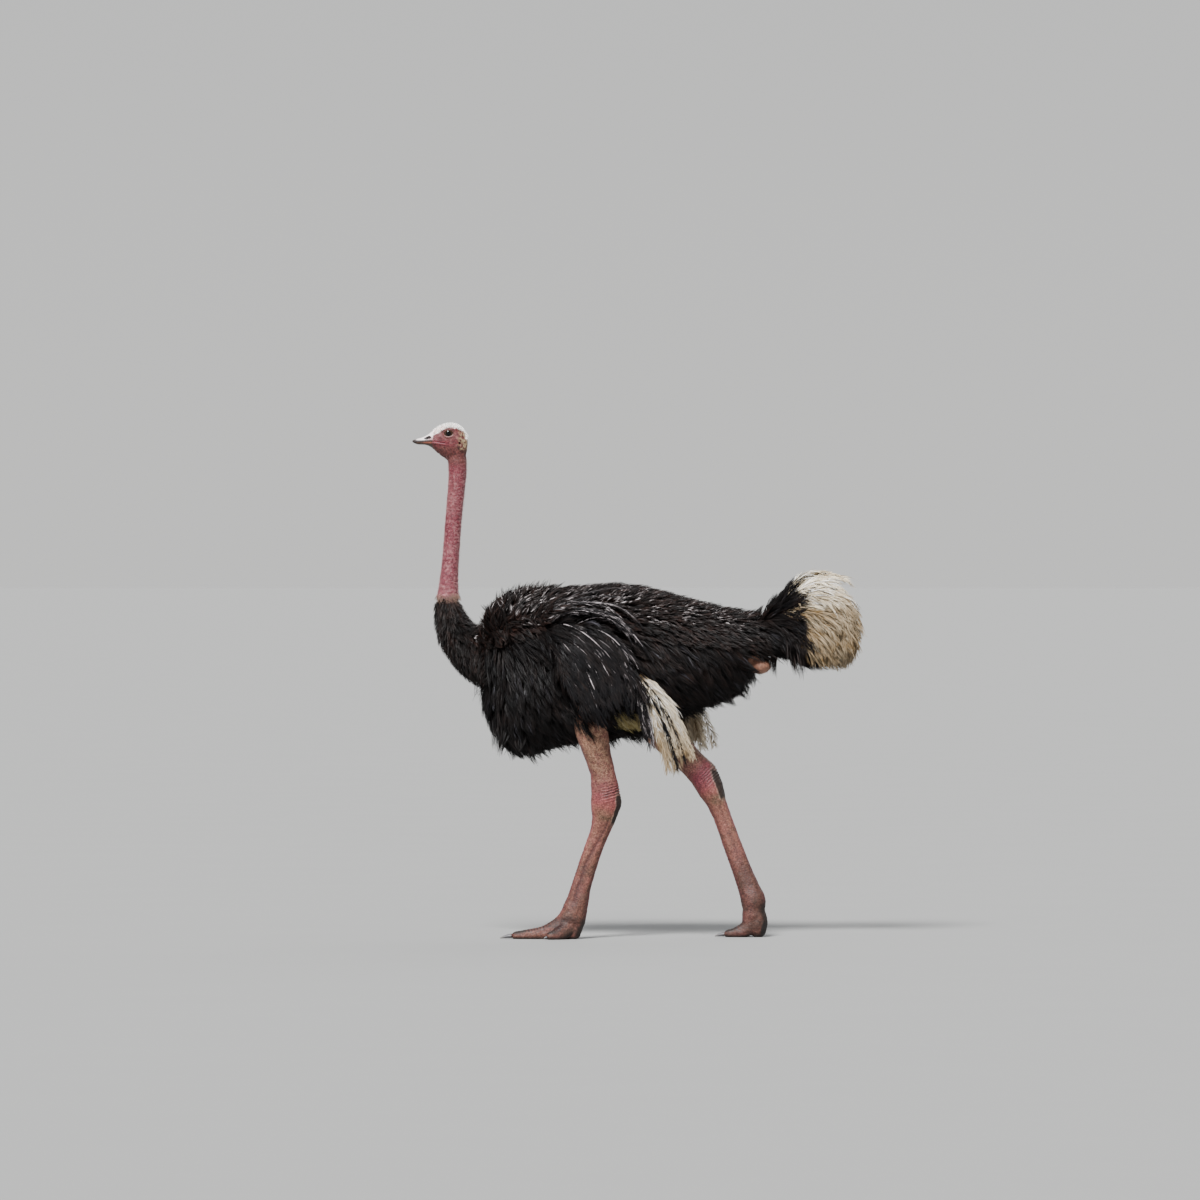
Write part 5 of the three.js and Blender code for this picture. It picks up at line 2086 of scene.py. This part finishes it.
PATCHES = (
    Patch(
        "neck_base", Kind.BACK,
        Lay(
            1800, (0.035, 0.06), 7, 4, 0.008, 0.0018, tip=0.1, lift=0.12, top=0.005, loose=0.003,
            shine=0.35, drawn=0.2, fine=0.5,
        ),
        (0.05, 0.8),
    ),
    Patch(
        "mantle", Kind.BACK,
        Lay(
            1500, (0.06, 0.105), 10, 5, 0.009, 0.0021, tip=0.05, lift=0.9, hold=0.25, top=0.003,
            loose=0.02, frizz=0.001, shine=0.35, fine=0.4, lock=8, drawn=0.8,
        ),
        (0.2, 1.0),
    ),
    Patch(
        "ruff", Kind.BACK,
        Lay(
            900, (0.06, 0.1), 4, 4, 0.005, 0.0021, tip=0.0, lift=1.5, fold=0.5, hold=0.0,
            inertia=0.4, swirl=0.2, frizz=0.0007, shine=0.4, fine=0.4, drawn=0.85, lock=5,
        ),
        (0.2, 1.0), RUFF_FLOW,
    ),
    Patch(
        "breast", Kind.BODY,
        Lay(
            1800, (0.08, 0.13), 9, 5, 0.011, tip=0.12, lift=0.45, hold=0.55, droop=0.3,
            loose=0.009, shine=0.05, lock=7, drawn=0.6,
        ),
        (0.0, 0.5),
    ),
    Patch(
        "back", Kind.BACK,
        Lay(
            3500, (0.05, 0.075), 7, 4, 0.0085, 0.0022, tip=0.2, lift=0.25, hold=0.85,
            top=-0.001, loose=0.005, frizz=0.001, shine=0.7, fine=0.3, lock=4, drawn=0.35,
        ),
        (0.2, 1.0),
    ),
    Patch(
        "flank", Kind.BODY,
        Lay(
            2350, (0.08, 0.13), 8, 5, 0.012, 0.002, tip=0.14, lift=0.35, hold=0.65, droop=0.35,
            loose=0.006, shine=0.08, lock=7, drawn=0.6,
        ),
        (0.3, 1.0),
    ),
    Patch(
        "rump", Kind.BODY,
        Lay(
            1000, (0.08, 0.13), 9, 5, 0.01, tip=0.12, lift=0.4, hold=0.6, frizz=0.0016,
            loose=0.006, shine=0.08, lock=6, drawn=0.6,
        ),
        (0.1, 0.8),
    ),
    Patch(
        "vent_wisps", Kind.BODY,
        Lay(
            80, (0.1, 0.145), 3, 5, 0.004, 0.0019, tip=0.1, lift=2.6, fold=0.3, hold=0.0, droop=1.2,
            swirl=0.1, shine=0.0, drawn=0.6, lock=4,
        ),
        (0.1, 0.6), Flow(((0.57, 1.2, -0.5, -1.0),)),
    ),
    Patch(
        "hem", Kind.BODY,
        Lay(
            900, (0.085, 0.125), 5, 4, 0.006, 0.0022, tip=0.0, lift=1.5, fold=0.6, hold=0.0, droop=0.3,
            shine=0.0, drawn=0.9, lock=5,
        ),
        (0.1, 0.7),
    ),
    Patch(
        "tail_hem", Kind.BODY,
        Lay(
            220, (0.1, 0.16), 4, 5, 0.005, 0.002, tip=0.05, lift=1.7, fold=0.5, hold=0.0, droop=0.5,
            shine=0.0, drawn=0.7, lock=4,
        ),
        (0.3, 1.0), TAIL_FLOW,
    ),
    Patch(
        "flank_down", Kind.FLANK_DOWN,
        Lay(
            340, (0.04, 0.07), 12, 5, 0.012, tip=0.4, lift=0.4, hold=0.4, top=0.004, droop=0.4,
            loose=0.006,
        ),
        (0.1, 0.9),
    ),
    Patch(
        "thigh_fringe", Kind.BODY,
        Lay(
            260, (0.1, 0.14), 7, 5, 0.01, 0.002, tip=0.1, lift=0.9, fold=1.0, hold=0.0, droop=0.4,
            loose=0.006, shine=0.05, lock=5, drawn=0.6,
        ),
        (0.1, 0.8),
    ),
    Patch(
        "tail_wisps", Kind.WING,
        Lay(
            420, (0.08, 0.16), 4, 6, 0.005, tip=0.1, lift=0.8, hold=0.4, top=0.008, loose=0.012,
            droop=0.25, drawn=0.7, shine=0.0,
        ),
        (0.1, 0.8), TAIL_FLOW,
    ),
)
WING_UNDER = Lay(520, (0.08, 0.13), 9, 5, 0.013, tip=0.15, lift=0.3, hold=0.8, top=-0.006, shine=0.1)
WING_SHAFTS = Lay(
    120, (0.13, 0.22), 1, 8, lift=0.35, hold=0.85, top=0.001, loose=0.006, swirl=0.12, inertia=0.6
)
WING_VANE = Vane(
    22, (0.06, 0.1), (0.26, 0.12), 0.12,
    Lay(
        1, (0, 0), 2, 6, 0.0016, 0.0021, tip=0.5, frizz=0.0008, short=0.75, shine=1.0, fine=0.5,
        lock=5, drawn=0.5,
    ),
    lit=(0.85, 1.1), some=0.3, edge=0.08,
)
WING_ARCHES = Lay(
    30, (0.32, 0.5), 1, 12, lift=0.2, hold=0.9, top=0.012, loose=0.004, swirl=0.06, inertia=0.5,
    droop=0.05,
)
ARCH_VANE = Vane(
    36, (0.04, 0.07), (0.3, 0.14), 0.1,
    Lay(
        1, (0, 0), 2, 6, 0.0014, 0.0019, tip=0.4, frizz=0.0008, short=0.7, shine=1.0, fine=0.4,
        lock=4, drawn=0.6,
    ),
    lit=(1.1, 1.3), some=0.45, edge=0.1,
)
TAIL_UNDER = Lay(
    330, (0.1, 0.18), 14, 6, 0.018, tip=0.3, lift=0.3, hold=0.8, top=-0.014, droop=0.3, wave=0.004,
    lock=5, drawn=0.5,
)
TAIL_SHAFTS = Lay(
    150, (0.15, 0.25), 1, 9, lift=0.35, hold=0.75, top=-0.004, loose=0.008, swirl=0.2, inertia=0.6,
    droop=0.1, lock=3, drawn=0.3,
)
TAIL_VANE = Vane(
    31, (0.05, 0.115), (0.5, 0.25), 0.3,
    Lay(
        1, (0, 0), 2, 6, 0.0016, 0.0023, tip=0.5, frizz=0.0012, short=0.55, shine=0.75, lock=7,
        drawn=0.75,
    ),
    aged=(1.53, 1.3), lit=(1.28, 1.5), some=0.45, hem=1.122,
)
QUILL_VANE = Vane(
    66, (0.06, 0.13), (0.3, 0.22), 0.15,
    Lay(
        1, (0, 0), 2, 6, 0.0018, 0.0023, tip=0.5, frizz=0.0022, short=0.6, shine=1.0, lock=6,
        drawn=0.7,
    ),
    aged=(1.0, 0.72), lit=(0.7, 1.0),
)
FAR_VANE = Vane(
    60, (0.06, 0.1), (0.5, 0.5), 0.35,
    Lay(
        1, (0, 0), 2, 6, 0.0018, 0.0023, tip=0.5, frizz=0.0024, short=0.6, shine=0.7, lock=6,
        drawn=0.7,
    ),
    aged=(0.5, 0.3), lit=(1.0, 1.2),
)
WISP_VANE = Vane(
    40, (0.05, 0.1), (0.16, 0.12), 0.15,
    Lay(
        1, (0, 0), 2, 6, 0.0016, 0.002, tip=0.2, frizz=0.0024, short=0.6, shine=0.15, lock=5,
        drawn=0.7,
    ),
)


@dataclass
class Plumage:
    """Every plume that grows from the body, the wings and the tail."""

    outline: Field
    body: Field
    wings: Field
    tail: Field
    finishes: dict[Kind, Any]

    def shares(self, ground: Ground) -> dict[str, Array]:
        """How thickly each stretch of the coat stands on each face of the skin.

        Args:
            ground: The skin that the plumes grow from.

        Returns:
            For each stretch by name, a value for each face.
        """
        p = ground.centre
        x, z = p[:, 0], p[:, 2]
        under = self.outline.at(p)
        covered = under < -0.0025
        down = (np.abs(x + 0.04) < 0.09) & (z > 0.83) & (z < 0.985) & (np.abs(p[:, 1]) > 0.1)
        wing = (self.wings.at(p) < 0.01) & ~down
        ragged = 0.016 * Grain(SEED).at(p, 0.03)
        slant = 0.8 * np.maximum(1.36 - z, 0.0) + ragged
        tail = (x > 0.6 + slant) & (self.tail.at(p) < 0.05)
        outward = self.outline.outward(p)
        down_facing = (outward[:, 2] < -0.3) | ((outward[:, 0] > 0.4) & (x > 0.3) & (z < 1.2))
        under_tail = (outward[:, 2] < -0.2) & (z > 1.15)
        vent = spot(p, VENT, (0.056, 0.07, 0.05)) > 0.37
        fringe = z < NECK_FRINGE + 0.012 + 0.016 * Grain(SEED).at(p, 0.016)
        arch = (x > -0.46) & (x < -0.34) & (np.abs(z - 1.315) < 0.045) & (np.abs(p[:, 1]) > 0.09)
        ground_open = covered & ~wing & ~tail & ~vent & ~down
        neck = (x + 0.35 * (z - 1.3) < -0.675) & (z > 1.1)
        mantle = (z > 1.24 + 0.3 * (x + 0.6)) & (x < -0.33)
        rump = x > 0.5
        back = (x > -0.36) & ~rump & (z > 1.25 - 0.10 * (x - 0.1))
        fore = x < -0.33
        deep = (under < -0.012) | ((under < 0.012) & (z > 0.9) & (np.abs(p[:, 1]) > 0.1))
        return {
            "neck_base": ground_open & neck & fringe,
            "mantle": ground_open & ~neck & mantle,
            "ruff": ground_open & ~neck & (x < -0.37) & (z > 1.19) & (np.abs(p[:, 1]) < 0.17),
            "breast": ground_open & ~neck & ~mantle & fore & deep,
            "back": ground_open & ~neck & back & ~mantle,
            "flank": ground_open & ~neck & ~mantle & ~fore & ~back & ~rump & deep,
            "rump": ground_open & rump,
            "vent_wisps": covered & under_tail & (x > 0.545) & (x < 0.595) & (np.abs(p[:, 1]) < 0.03),
            "hem": ground_open & ~neck & down_facing & (x < 0.6) & (np.abs(p[:, 1]) < 0.1),
            "tail_hem": covered & under_tail & (x > 0.6) & (x < 0.8) & (np.abs(p[:, 1]) < 0.12),
            "flank_down": down & deep,
            "thigh_fringe": (np.abs(x + 0.29) < 0.055) & (np.abs(z - 0.96) < 0.05) & (np.abs(p[:, 1]) > 0.1),
            "wing": covered & wing,
            "wing_arches": covered & (self.wings.at(p) < 0.07) & arch,
            "tail": covered & tail,
            "tail_top": covered & (x > 0.565 + slant) & (self.tail.at(p) < 0.08),
            "tail_wisps": covered & (x > 0.54 + slant) & (x < 0.63 + slant),
        }

    def build(self) -> None:
        """Builds the plumes."""
        ground = Ground(self.body)
        shares = self.shares(ground)
        coat = Coat(self.outline)
        for number, patch in enumerate(PATCHES):
            rng = np.random.default_rng(SEED + 20 + number)
            root = ground.roots(shares[patch.name], patch.lay.count, rng)
            tufts = coat.grow(root, patch.flow, patch.lay, rng)
            tufts, root = self.cleared(tufts, root)
            worn = rng.uniform(*patch.worn, len(root))
            lit = coat.lit(len(root), patch.lay, rng)
            # Painted highlights: on the back only high up and towards the front, on the lower neck only at
            # its back and top, on the mantle and ruff stronger higher up.
            if patch.name == "back":
                fade = root[:, 2] + 0.02 * coat.grain.at(root, 0.08) + 0.1 * root[:, 0]
                sparse = 0.55 + 0.45 * rise(coat.grain.at(root, 0.05), -0.3, 0.1)
                lit = lit * rise(fade, 1.27, 1.35) * rise(root[:, 0], 0.52, 0.4) * sparse
            elif patch.name == "neck_base":
                lit = lit * rise(root[:, 0], -0.76, -0.7) * rise(root[:, 2], 1.2, 1.26)
                worn = np.clip(worn + 0.6 * rise(root[:, 2], 1.34, 1.42), 0.0, 1.0)
            elif patch.name in ("mantle", "ruff"):
                lit = lit * (0.35 + 0.65 * rise(root[:, 2], 1.26, 1.36))
            slot = Slot.WHITE if patch.kind is Kind.FLANK_DOWN else Slot.BLACK
            for piece in coat.strands(f"coat_{patch.name}", tufts, patch.lay, rng, worn, lit):
                piece.build(self.finishes[patch.kind], slot)
        for side in Side:
            self._wing(coat, ground, shares, side)
        self._tail(coat, ground, shares)

    @staticmethod
    def cleared(tufts: Tufts, root: Array) -> tuple[Tufts, Array]:
        """Leaves out the tufts that would hang over the vent.

        Args:
            tufts: The tufts.
            root: Their roots.

        Returns:
            The tufts and the roots that are left.
        """
        count, marks = tufts.axis.shape[:2]
        over = spot(tufts.axis.reshape(-1, 3), VENT, (0.042, 0.12, 0.036)).reshape(count, marks)
        keep = over[:, 1:].max(axis=1) < 0.45
        return Tufts(tufts.axis[keep], tufts.normal[keep], tufts.place[keep]), root[keep]

    def _wing(self, coat: Coat, ground: Ground, shares: dict[str, Array], side: Side) -> None:
        """Builds one folded wing: short plumes below and long arched ones above.

        Args:
            coat: What grows the plumes.
            ground: The skin that they grow from.
            shares: How thickly each stretch stands on each face of the skin.
            side: The side.
        """
        beside = ground.centre[:, 1] * side.value > 0
        own = shares["wing"] & beside
        rng = np.random.default_rng(SEED + 40 + side.value)
        name = f"wing_{side.word}"
        black = self.finishes[Kind.WING]
        root = ground.roots(own, WING_UNDER.count, rng)
        tufts, root = self.raised(coat.grow(root, WING_FLOW, WING_UNDER, rng), root)
        worn = rng.uniform(0.1, 0.8, len(root))
        lit = coat.lit(len(root), WING_UNDER, rng)
        for piece in coat.strands(f"coat_{name}_under", tufts, WING_UNDER, rng, worn, lit):
            piece.points[:, 1] = pressed(piece.points[:, 1])
            piece.build(self.finishes[Kind.BODY], Slot.BLACK)
        for label, place, lay, vane, nodes in (
            (name, own, WING_SHAFTS, WING_VANE, [name]),
            (f"{name}_arches", shares["wing_arches"] & beside, WING_ARCHES, ARCH_VANE, []),
        ):
            root = ground.roots(place, lay.count, rng)
            shafts, root = self.raised(coat.grow(root, WING_FLOW, lay, rng), root)
            worn = rng.uniform(0.0, 0.7, len(root))
            for piece in coat.plumes(f"coat_{label}", shafts, vane, rng, worn):
                piece.points[:, 1] = pressed(piece.points[:, 1])
                piece.build(black, Slot.BLACK, nodes)

    @staticmethod
    def raised(tufts: Tufts, root: Array) -> tuple[Tufts, Array]:
        """Leaves out the wing's tufts that would hide the pale down under it.

        Args:
            tufts: The tufts.
            root: Their roots.

        Returns:
            The tufts and the roots that are left.
        """
        x, z = tufts.axis[:, -1, 0], tufts.axis[:, -1, 2]
        keep = (z > 0.965) | (x < -0.14) | ((x > 0.012) & (z > 0.87))
        return Tufts(tufts.axis[keep], tufts.normal[keep], tufts.place[keep]), root[keep]

    def _tail(self, coat: Coat, ground: Ground, shares: dict[str, Array]) -> None:
        """Builds the white tail: a fill of short plumes under long drooping ones.

        Args:
            coat: What grows the plumes.
            ground: The skin that they grow from.
            shares: How thickly each stretch stands on each face of the skin.
        """
        rng = np.random.default_rng(SEED + 50)
        white = self.finishes[Kind.WHITE]
        for name, share, lay, vane in (
            ("tail_under", "tail", TAIL_UNDER, None),
            ("tail", "tail_top", TAIL_SHAFTS, TAIL_VANE),
        ):
            root = ground.roots(shares[share], lay.count, rng)
            tufts = coat.grow(root, TAIL_FLOW, lay, rng)
            # Lower plumes take more of the worn tan: partly wear, partly painted shade on the lower tail.
            low = rise(tufts.axis[:, -1, 2], 1.48, 1.25)
            worn = np.clip(0.1 + 0.6 * low + rng.normal(0, 0.2, len(root)), 0.0, 1.0)
            name = f"coat_{name}"
            if vane:
                pieces = coat.plumes(name, tufts, vane, rng, worn)
            else:
                pieces = coat.strands(name, tufts, lay, rng, worn, coat.lit(len(root), lay, rng))
            for piece in pieces:
                piece.build(white, Slot.WHITE, ["tail_plumes"])


@dataclass(frozen=True)
class Bunch:
    """Long plumes that hang together from under a wing."""

    name: str
    kind: Kind
    side: Side
    axis: tuple[tuple[float, float, float], ...]
    vane: Vane
    plumes: int
    spread: tuple[float, float]
    thick: float = 0.014
    marks: int = 9
    nodes: tuple[str, ...] = ()

    def build(self, outline: Field, finishes: dict[Kind, Any]) -> None:
        """Builds the bunch.

        Args:
            outline: The body's outline.
            finishes: The plumes' materials by kind.
        """
        rng = np.random.default_rng(SEED + 60 + len(self.name) + self.side.value)
        t = np.linspace(0, 1, self.marks)
        spine = Way(np.array(self.axis)).at(t)
        fan = np.linspace(-1, 1, self.plumes) + rng.normal(0, 0.1, self.plumes)
        deep = rng.uniform(-1, 1, self.plumes)
        along = unit(np.gradient(spine, axis=0))
        out = np.array([0.0, self.side.value, 0.0])
        flat = unit(np.cross(along, out))
        flat *= np.sign(flat[:, :1])
        wide = self.spread[0] + (self.spread[1] - self.spread[0]) * t**0.7
        axis = spine + fan[:, None, None] * flat * wide[:, None]
        axis = axis + deep[:, None, None] * out * (self.thick * (0.6 + 0.6 * t))[:, None]
        reach = rng.uniform(0.78, 1.0, self.plumes)
        axis = axis[:, :1] + (axis - axis[:, :1]) * reach[:, None, None]
        normal = np.tile(out, (self.plumes, self.marks, 1))
        shafts = Tufts(axis, normal, unwrapped(axis[:, 0]))
        worn = rng.uniform(0.1, 0.8, self.plumes)
        slot = Slot.WHITE if self.kind is Kind.WHITE else Slot.BLACK
        for piece in Coat(outline).plumes(self.name, shafts, self.vane, rng, worn):
            piece.build(finishes[self.kind], slot, self.nodes)


def bunches(side: Side) -> list[Bunch]:
    """The white quill plumes of one side, the black ones among them, and the wing's black tips.

    Args:
        side: The side of the bird.

    Returns:
        The bunches, in the order in which they are built.
    """
    y, word = side.value, side.word
    near = (
        (-0.014, 1.105), (0.018, 1.06), (0.062, 1.0), (0.095, 0.94),
        (0.13, 0.85), (0.158, 0.78), (0.176, 0.715),
    )
    far = (
        (-0.03, 1.12), (0.06, 1.05), (0.14, 1.0), (0.202, 0.945), (0.24, 0.885), (0.258, 0.83), (0.262, 0.782)
    )
    line, vane = (near, QUILL_VANE) if side is Side.LEFT else (far, FAR_VANE)
    depth = (0.232, 0.245, 0.246, 0.242, 0.234, 0.225, 0.218)
    quills = tuple((x, y * d, z) for (x, z), d in zip(line, depth))
    dark = tuple((x, y * (d + 0.012), z) for (x, z), d in zip(line, depth))
    tips = tuple(
        (x, y * d, z)
        for x, d, z in ((-0.10, 0.262, 1.2), (-0.023, 0.272, 1.07), (0.019, 0.27, 0.95), (0.05, 0.262, 0.79))
    )
    nodes = (f"quills_{word}",)
    return [
        Bunch(f"quill_plumes_{word}", Kind.WHITE, side, quills, vane, 15, (0.016, 0.06), nodes=nodes),
        Bunch(f"quill_dark_{word}", Kind.WING, side, dark, WISP_VANE, 2, (0.004, 0.024), 0.006),
        Bunch(f"wing_tips_{word}", Kind.WING, side, tips, WISP_VANE, 5, (0.03, 0.008), 0.01),
    ]


@dataclass
class Hairs:
    """Single fine hairs of the head and the neck."""

    name: str
    count: int
    length: tuple[float, float]
    width: float
    lean: float
    tint: tuple[float, float, float]
    region: Callable[[Array], Array]

    def build(self, ground: Ground, skin: Field, finish: Any) -> None:
        """Builds the hairs, all in one piece.

        Args:
            ground: The skin that they grow from.
            skin: Distances to that skin.
            finish: Their material.
        """
        rng = np.random.default_rng(SEED + 80 + len(self.name))
        root = ground.roots(self.region(ground.centre), self.count, rng)
        normal = skin.outward(root)
        way = np.array([0.35, 0.0, -1.0]) + rng.normal(0, 0.35, (self.count, 3))
        way = unit(way - normal * np.einsum("ij,ij->i", way, normal)[:, None])
        heading = unit(way * self.lean + normal)
        length = rng.uniform(*self.length, self.count)[:, None]
        middle = root + heading * length * 0.5 - normal * 0.0005
        tip = middle + unit(heading + way * self.lean * 0.5) * length * 0.5
        line = np.stack([root - normal * 0.0006, middle, tip], axis=1)
        flat = unit(np.cross(heading, normal + 0.6 * rng.normal(size=heading.shape)))
        wide = flat[:, None] * (self.width / 2 * np.array([1.0, 0.8, 0.15]))[:, None]
        points = np.stack([line - wide, line + wide], axis=2).reshape(-1, 3)
        tint = np.clip(np.array(self.tint) * rng.normal(1.0, 0.12, (self.count, 1)), 0.0, 1.0)
        each = np.arange(self.count).repeat(6)
        corner = np.tile([(i * PATCH / 2, j * PATCH) for i in range(3) for j in range(2)], (self.count, 1))
        unwrap = np.clip(unwrapped(root)[each] + corner, 0.0, 1.0)
        tone = rng.random(self.count)[each]
        Piece(self.name, points, ribbons(self.count, 3), {"tone": tone}, tint[each], unwrap).build(
            finish, Slot.WHITE
        )


def crown_region(p: Array) -> Array:
    """Crown and nape, where the white bristles stand.

    Args:
        p: Points of the head.

    Returns:
        How thickly the bristles stand at each, from 0 to 1.
    """
    x, z = p[:, 0], p[:, 2]
    crown = (z > crown_line(x) + 0.003) & (x > -0.862)
    return crown * (0.5 + 0.5 * rise(x, -0.84, -0.8)) * (1.0 - 0.8 * rise(z, 2.11, 2.08) * (x > -0.77))


def neck_region(p: Array) -> Array:
    """The bare neck."""
    x, z = p[:, 0], p[:, 2]
    return (z > 1.40) * (x < -0.7) * rise(z, 2.02, 1.97)


def fringe_region(p: Array) -> Array:
    """The foot of the bare neck, where pale hairs hang over the black plumes."""
    z = p[:, 2] + 0.012 * Grain(SEED).at(p, 0.014)
    return (z > NECK_FRINGE - 0.008) * (z < NECK_FRINGE + 0.02) * (p[:, 0] < -0.7) * 1.0


HAIRS = (
    Hairs("head_bristles", 5000, (0.006, 0.014), 0.0006, 1.15, (0.95, 0.93, 0.9), crown_region),
    Hairs("neck_down", 9500, (0.004, 0.008), 0.0005, 0.5, (0.42, 0.2, 0.21), neck_region),
    Hairs("neck_fringe", 420, (0.016, 0.034), 0.0012, 2.2, (0.17, 0.095, 0.065), fringe_region),
)


# ---- The studio ----


@dataclass(frozen=True)
class Studio:
    """A pale floor, soft lights and the camera."""

    camera: tuple[float, float, float] = (-0.169, -30.0, 1.538)
    aim: tuple[float, float, float] = (-0.169, 0.0, 1.413)
    lens: float = 215.3
    floor: float = 1200.0
    horizon: tuple[float, float, float] = (0.765, 0.765, 0.755)
    zenith: tuple[float, float, float] = (0.52, 0.54, 0.57)
    dusk: tuple[float, float] = (0.02, 0.5)  # heights between which the world dims

    def build(self) -> None:
        """Builds the floor, the lights, the world and the camera."""
        mesh = bpy.data.meshes.new("floor")
        half = self.floor / 2
        corners = [(-half, -half, 0), (half, -half, 0), (half, half, 0), (-half, half, 0)]
        mesh.from_pydata(corners, [], [(0, 1, 2, 3)])
        mesh.materials.append(FloorFinish().material())
        placed("floor", mesh)
        for name, place, spread, power in (
            ("key", (-0.35, -1.0, 1.2), 0.3, 9.6),
            ("back", (0.6, 1.0, 1.1), 0.9, 1.2),
        ):
            lamp = bpy.data.lights.new(name, "SUN")
            lamp.angle, lamp.energy = spread, power
            placed(name, lamp).rotation_euler = looking(place, (0.0, 0.0, 0.0))
        self._world()
        self._camera()

    def _world(self) -> None:
        """Adds soft light from all round: pale at the horizon like the floor, dimmer above."""
        world = bpy.data.worlds.new("studio")
        nodes = Nodes(world)
        way = nodes.node("ShaderNodeTexCoord", output="Generated")
        height = nodes.node("ShaderNodeSeparateXYZ", {}, {0: way}, output=2)
        colour = nodes.mix(nodes.span(height, *self.dusk, 0.0, 1.0), self.horizon, self.zenith)
        light = nodes.node("ShaderNodeBackground", {}, {"Color": colour, "Strength": 1.0})
        nodes.node("ShaderNodeOutputWorld", {}, {0: light})
        bpy.context.scene.world = world

    def _camera(self) -> None:
        """Adds the camera."""
        lens = bpy.data.cameras.new("camera")
        lens.lens, lens.sensor_width, lens.clip_end = self.lens, 36.0, 2000.0
        camera = placed("camera", lens)
        camera.location = self.camera
        camera.rotation_euler = looking(self.camera, self.aim)
        bpy.context.scene.camera = camera


def looking(place: Sequence[float], aim: Sequence[float]) -> Any:
    """The rotation of something that looks from a place to an aim."""
    return (Vector(aim) - Vector(place)).to_track_quat("-Z", "Y").to_euler()


def main() -> None:
    """Builds the bird and its studio."""
    logging.basicConfig(level=logging.INFO, format="%(name)s %(message)s")
    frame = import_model()
    Studio().build()
    skin_finish = SkinFinish().material()
    down = DownFinish().material()
    horn = HornFinish("bill_horn", 0.4).material()
    claw = HornFinish("claw_horn", 0.5, 0.0022).material()
    plumes = {kind: finish.material() for kind, finish in KINDS.items()}

    outline, wings, tail = (
        Field.of_nodes(frame, names, COAT_BOX, COAT_STEP, reach)
        for names, reach in ((COAT_NODES, 0.12), (COAT_NODES[-2:], 0.05), (("tail_plumes",), 0.05))
    )
    outline = outline.softened(0.01)
    skin = Skin(frame, outline)
    body = skin.body()
    head = skin.head()
    skin.build(skin_finish, body, head)
    for side in Side:
        Eye(side).build(EyeFinish().material(), skin_finish, down)
    Bill(frame).build(horn)
    for word in ("middle_left", "middle_right", "outer_left", "outer_right"):
        Claw(frame, f"claw_{word}").build(claw)
    Plumage(outline, body, wings, tail, plumes).build()
    for side in Side:
        for bunch in bunches(side):
            bunch.build(outline, plumes)
    ground = Ground(head)
    for hairs in HAIRS:
        hairs.build(ground, head, down)

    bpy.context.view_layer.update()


if __name__ == "__main__":
    main()
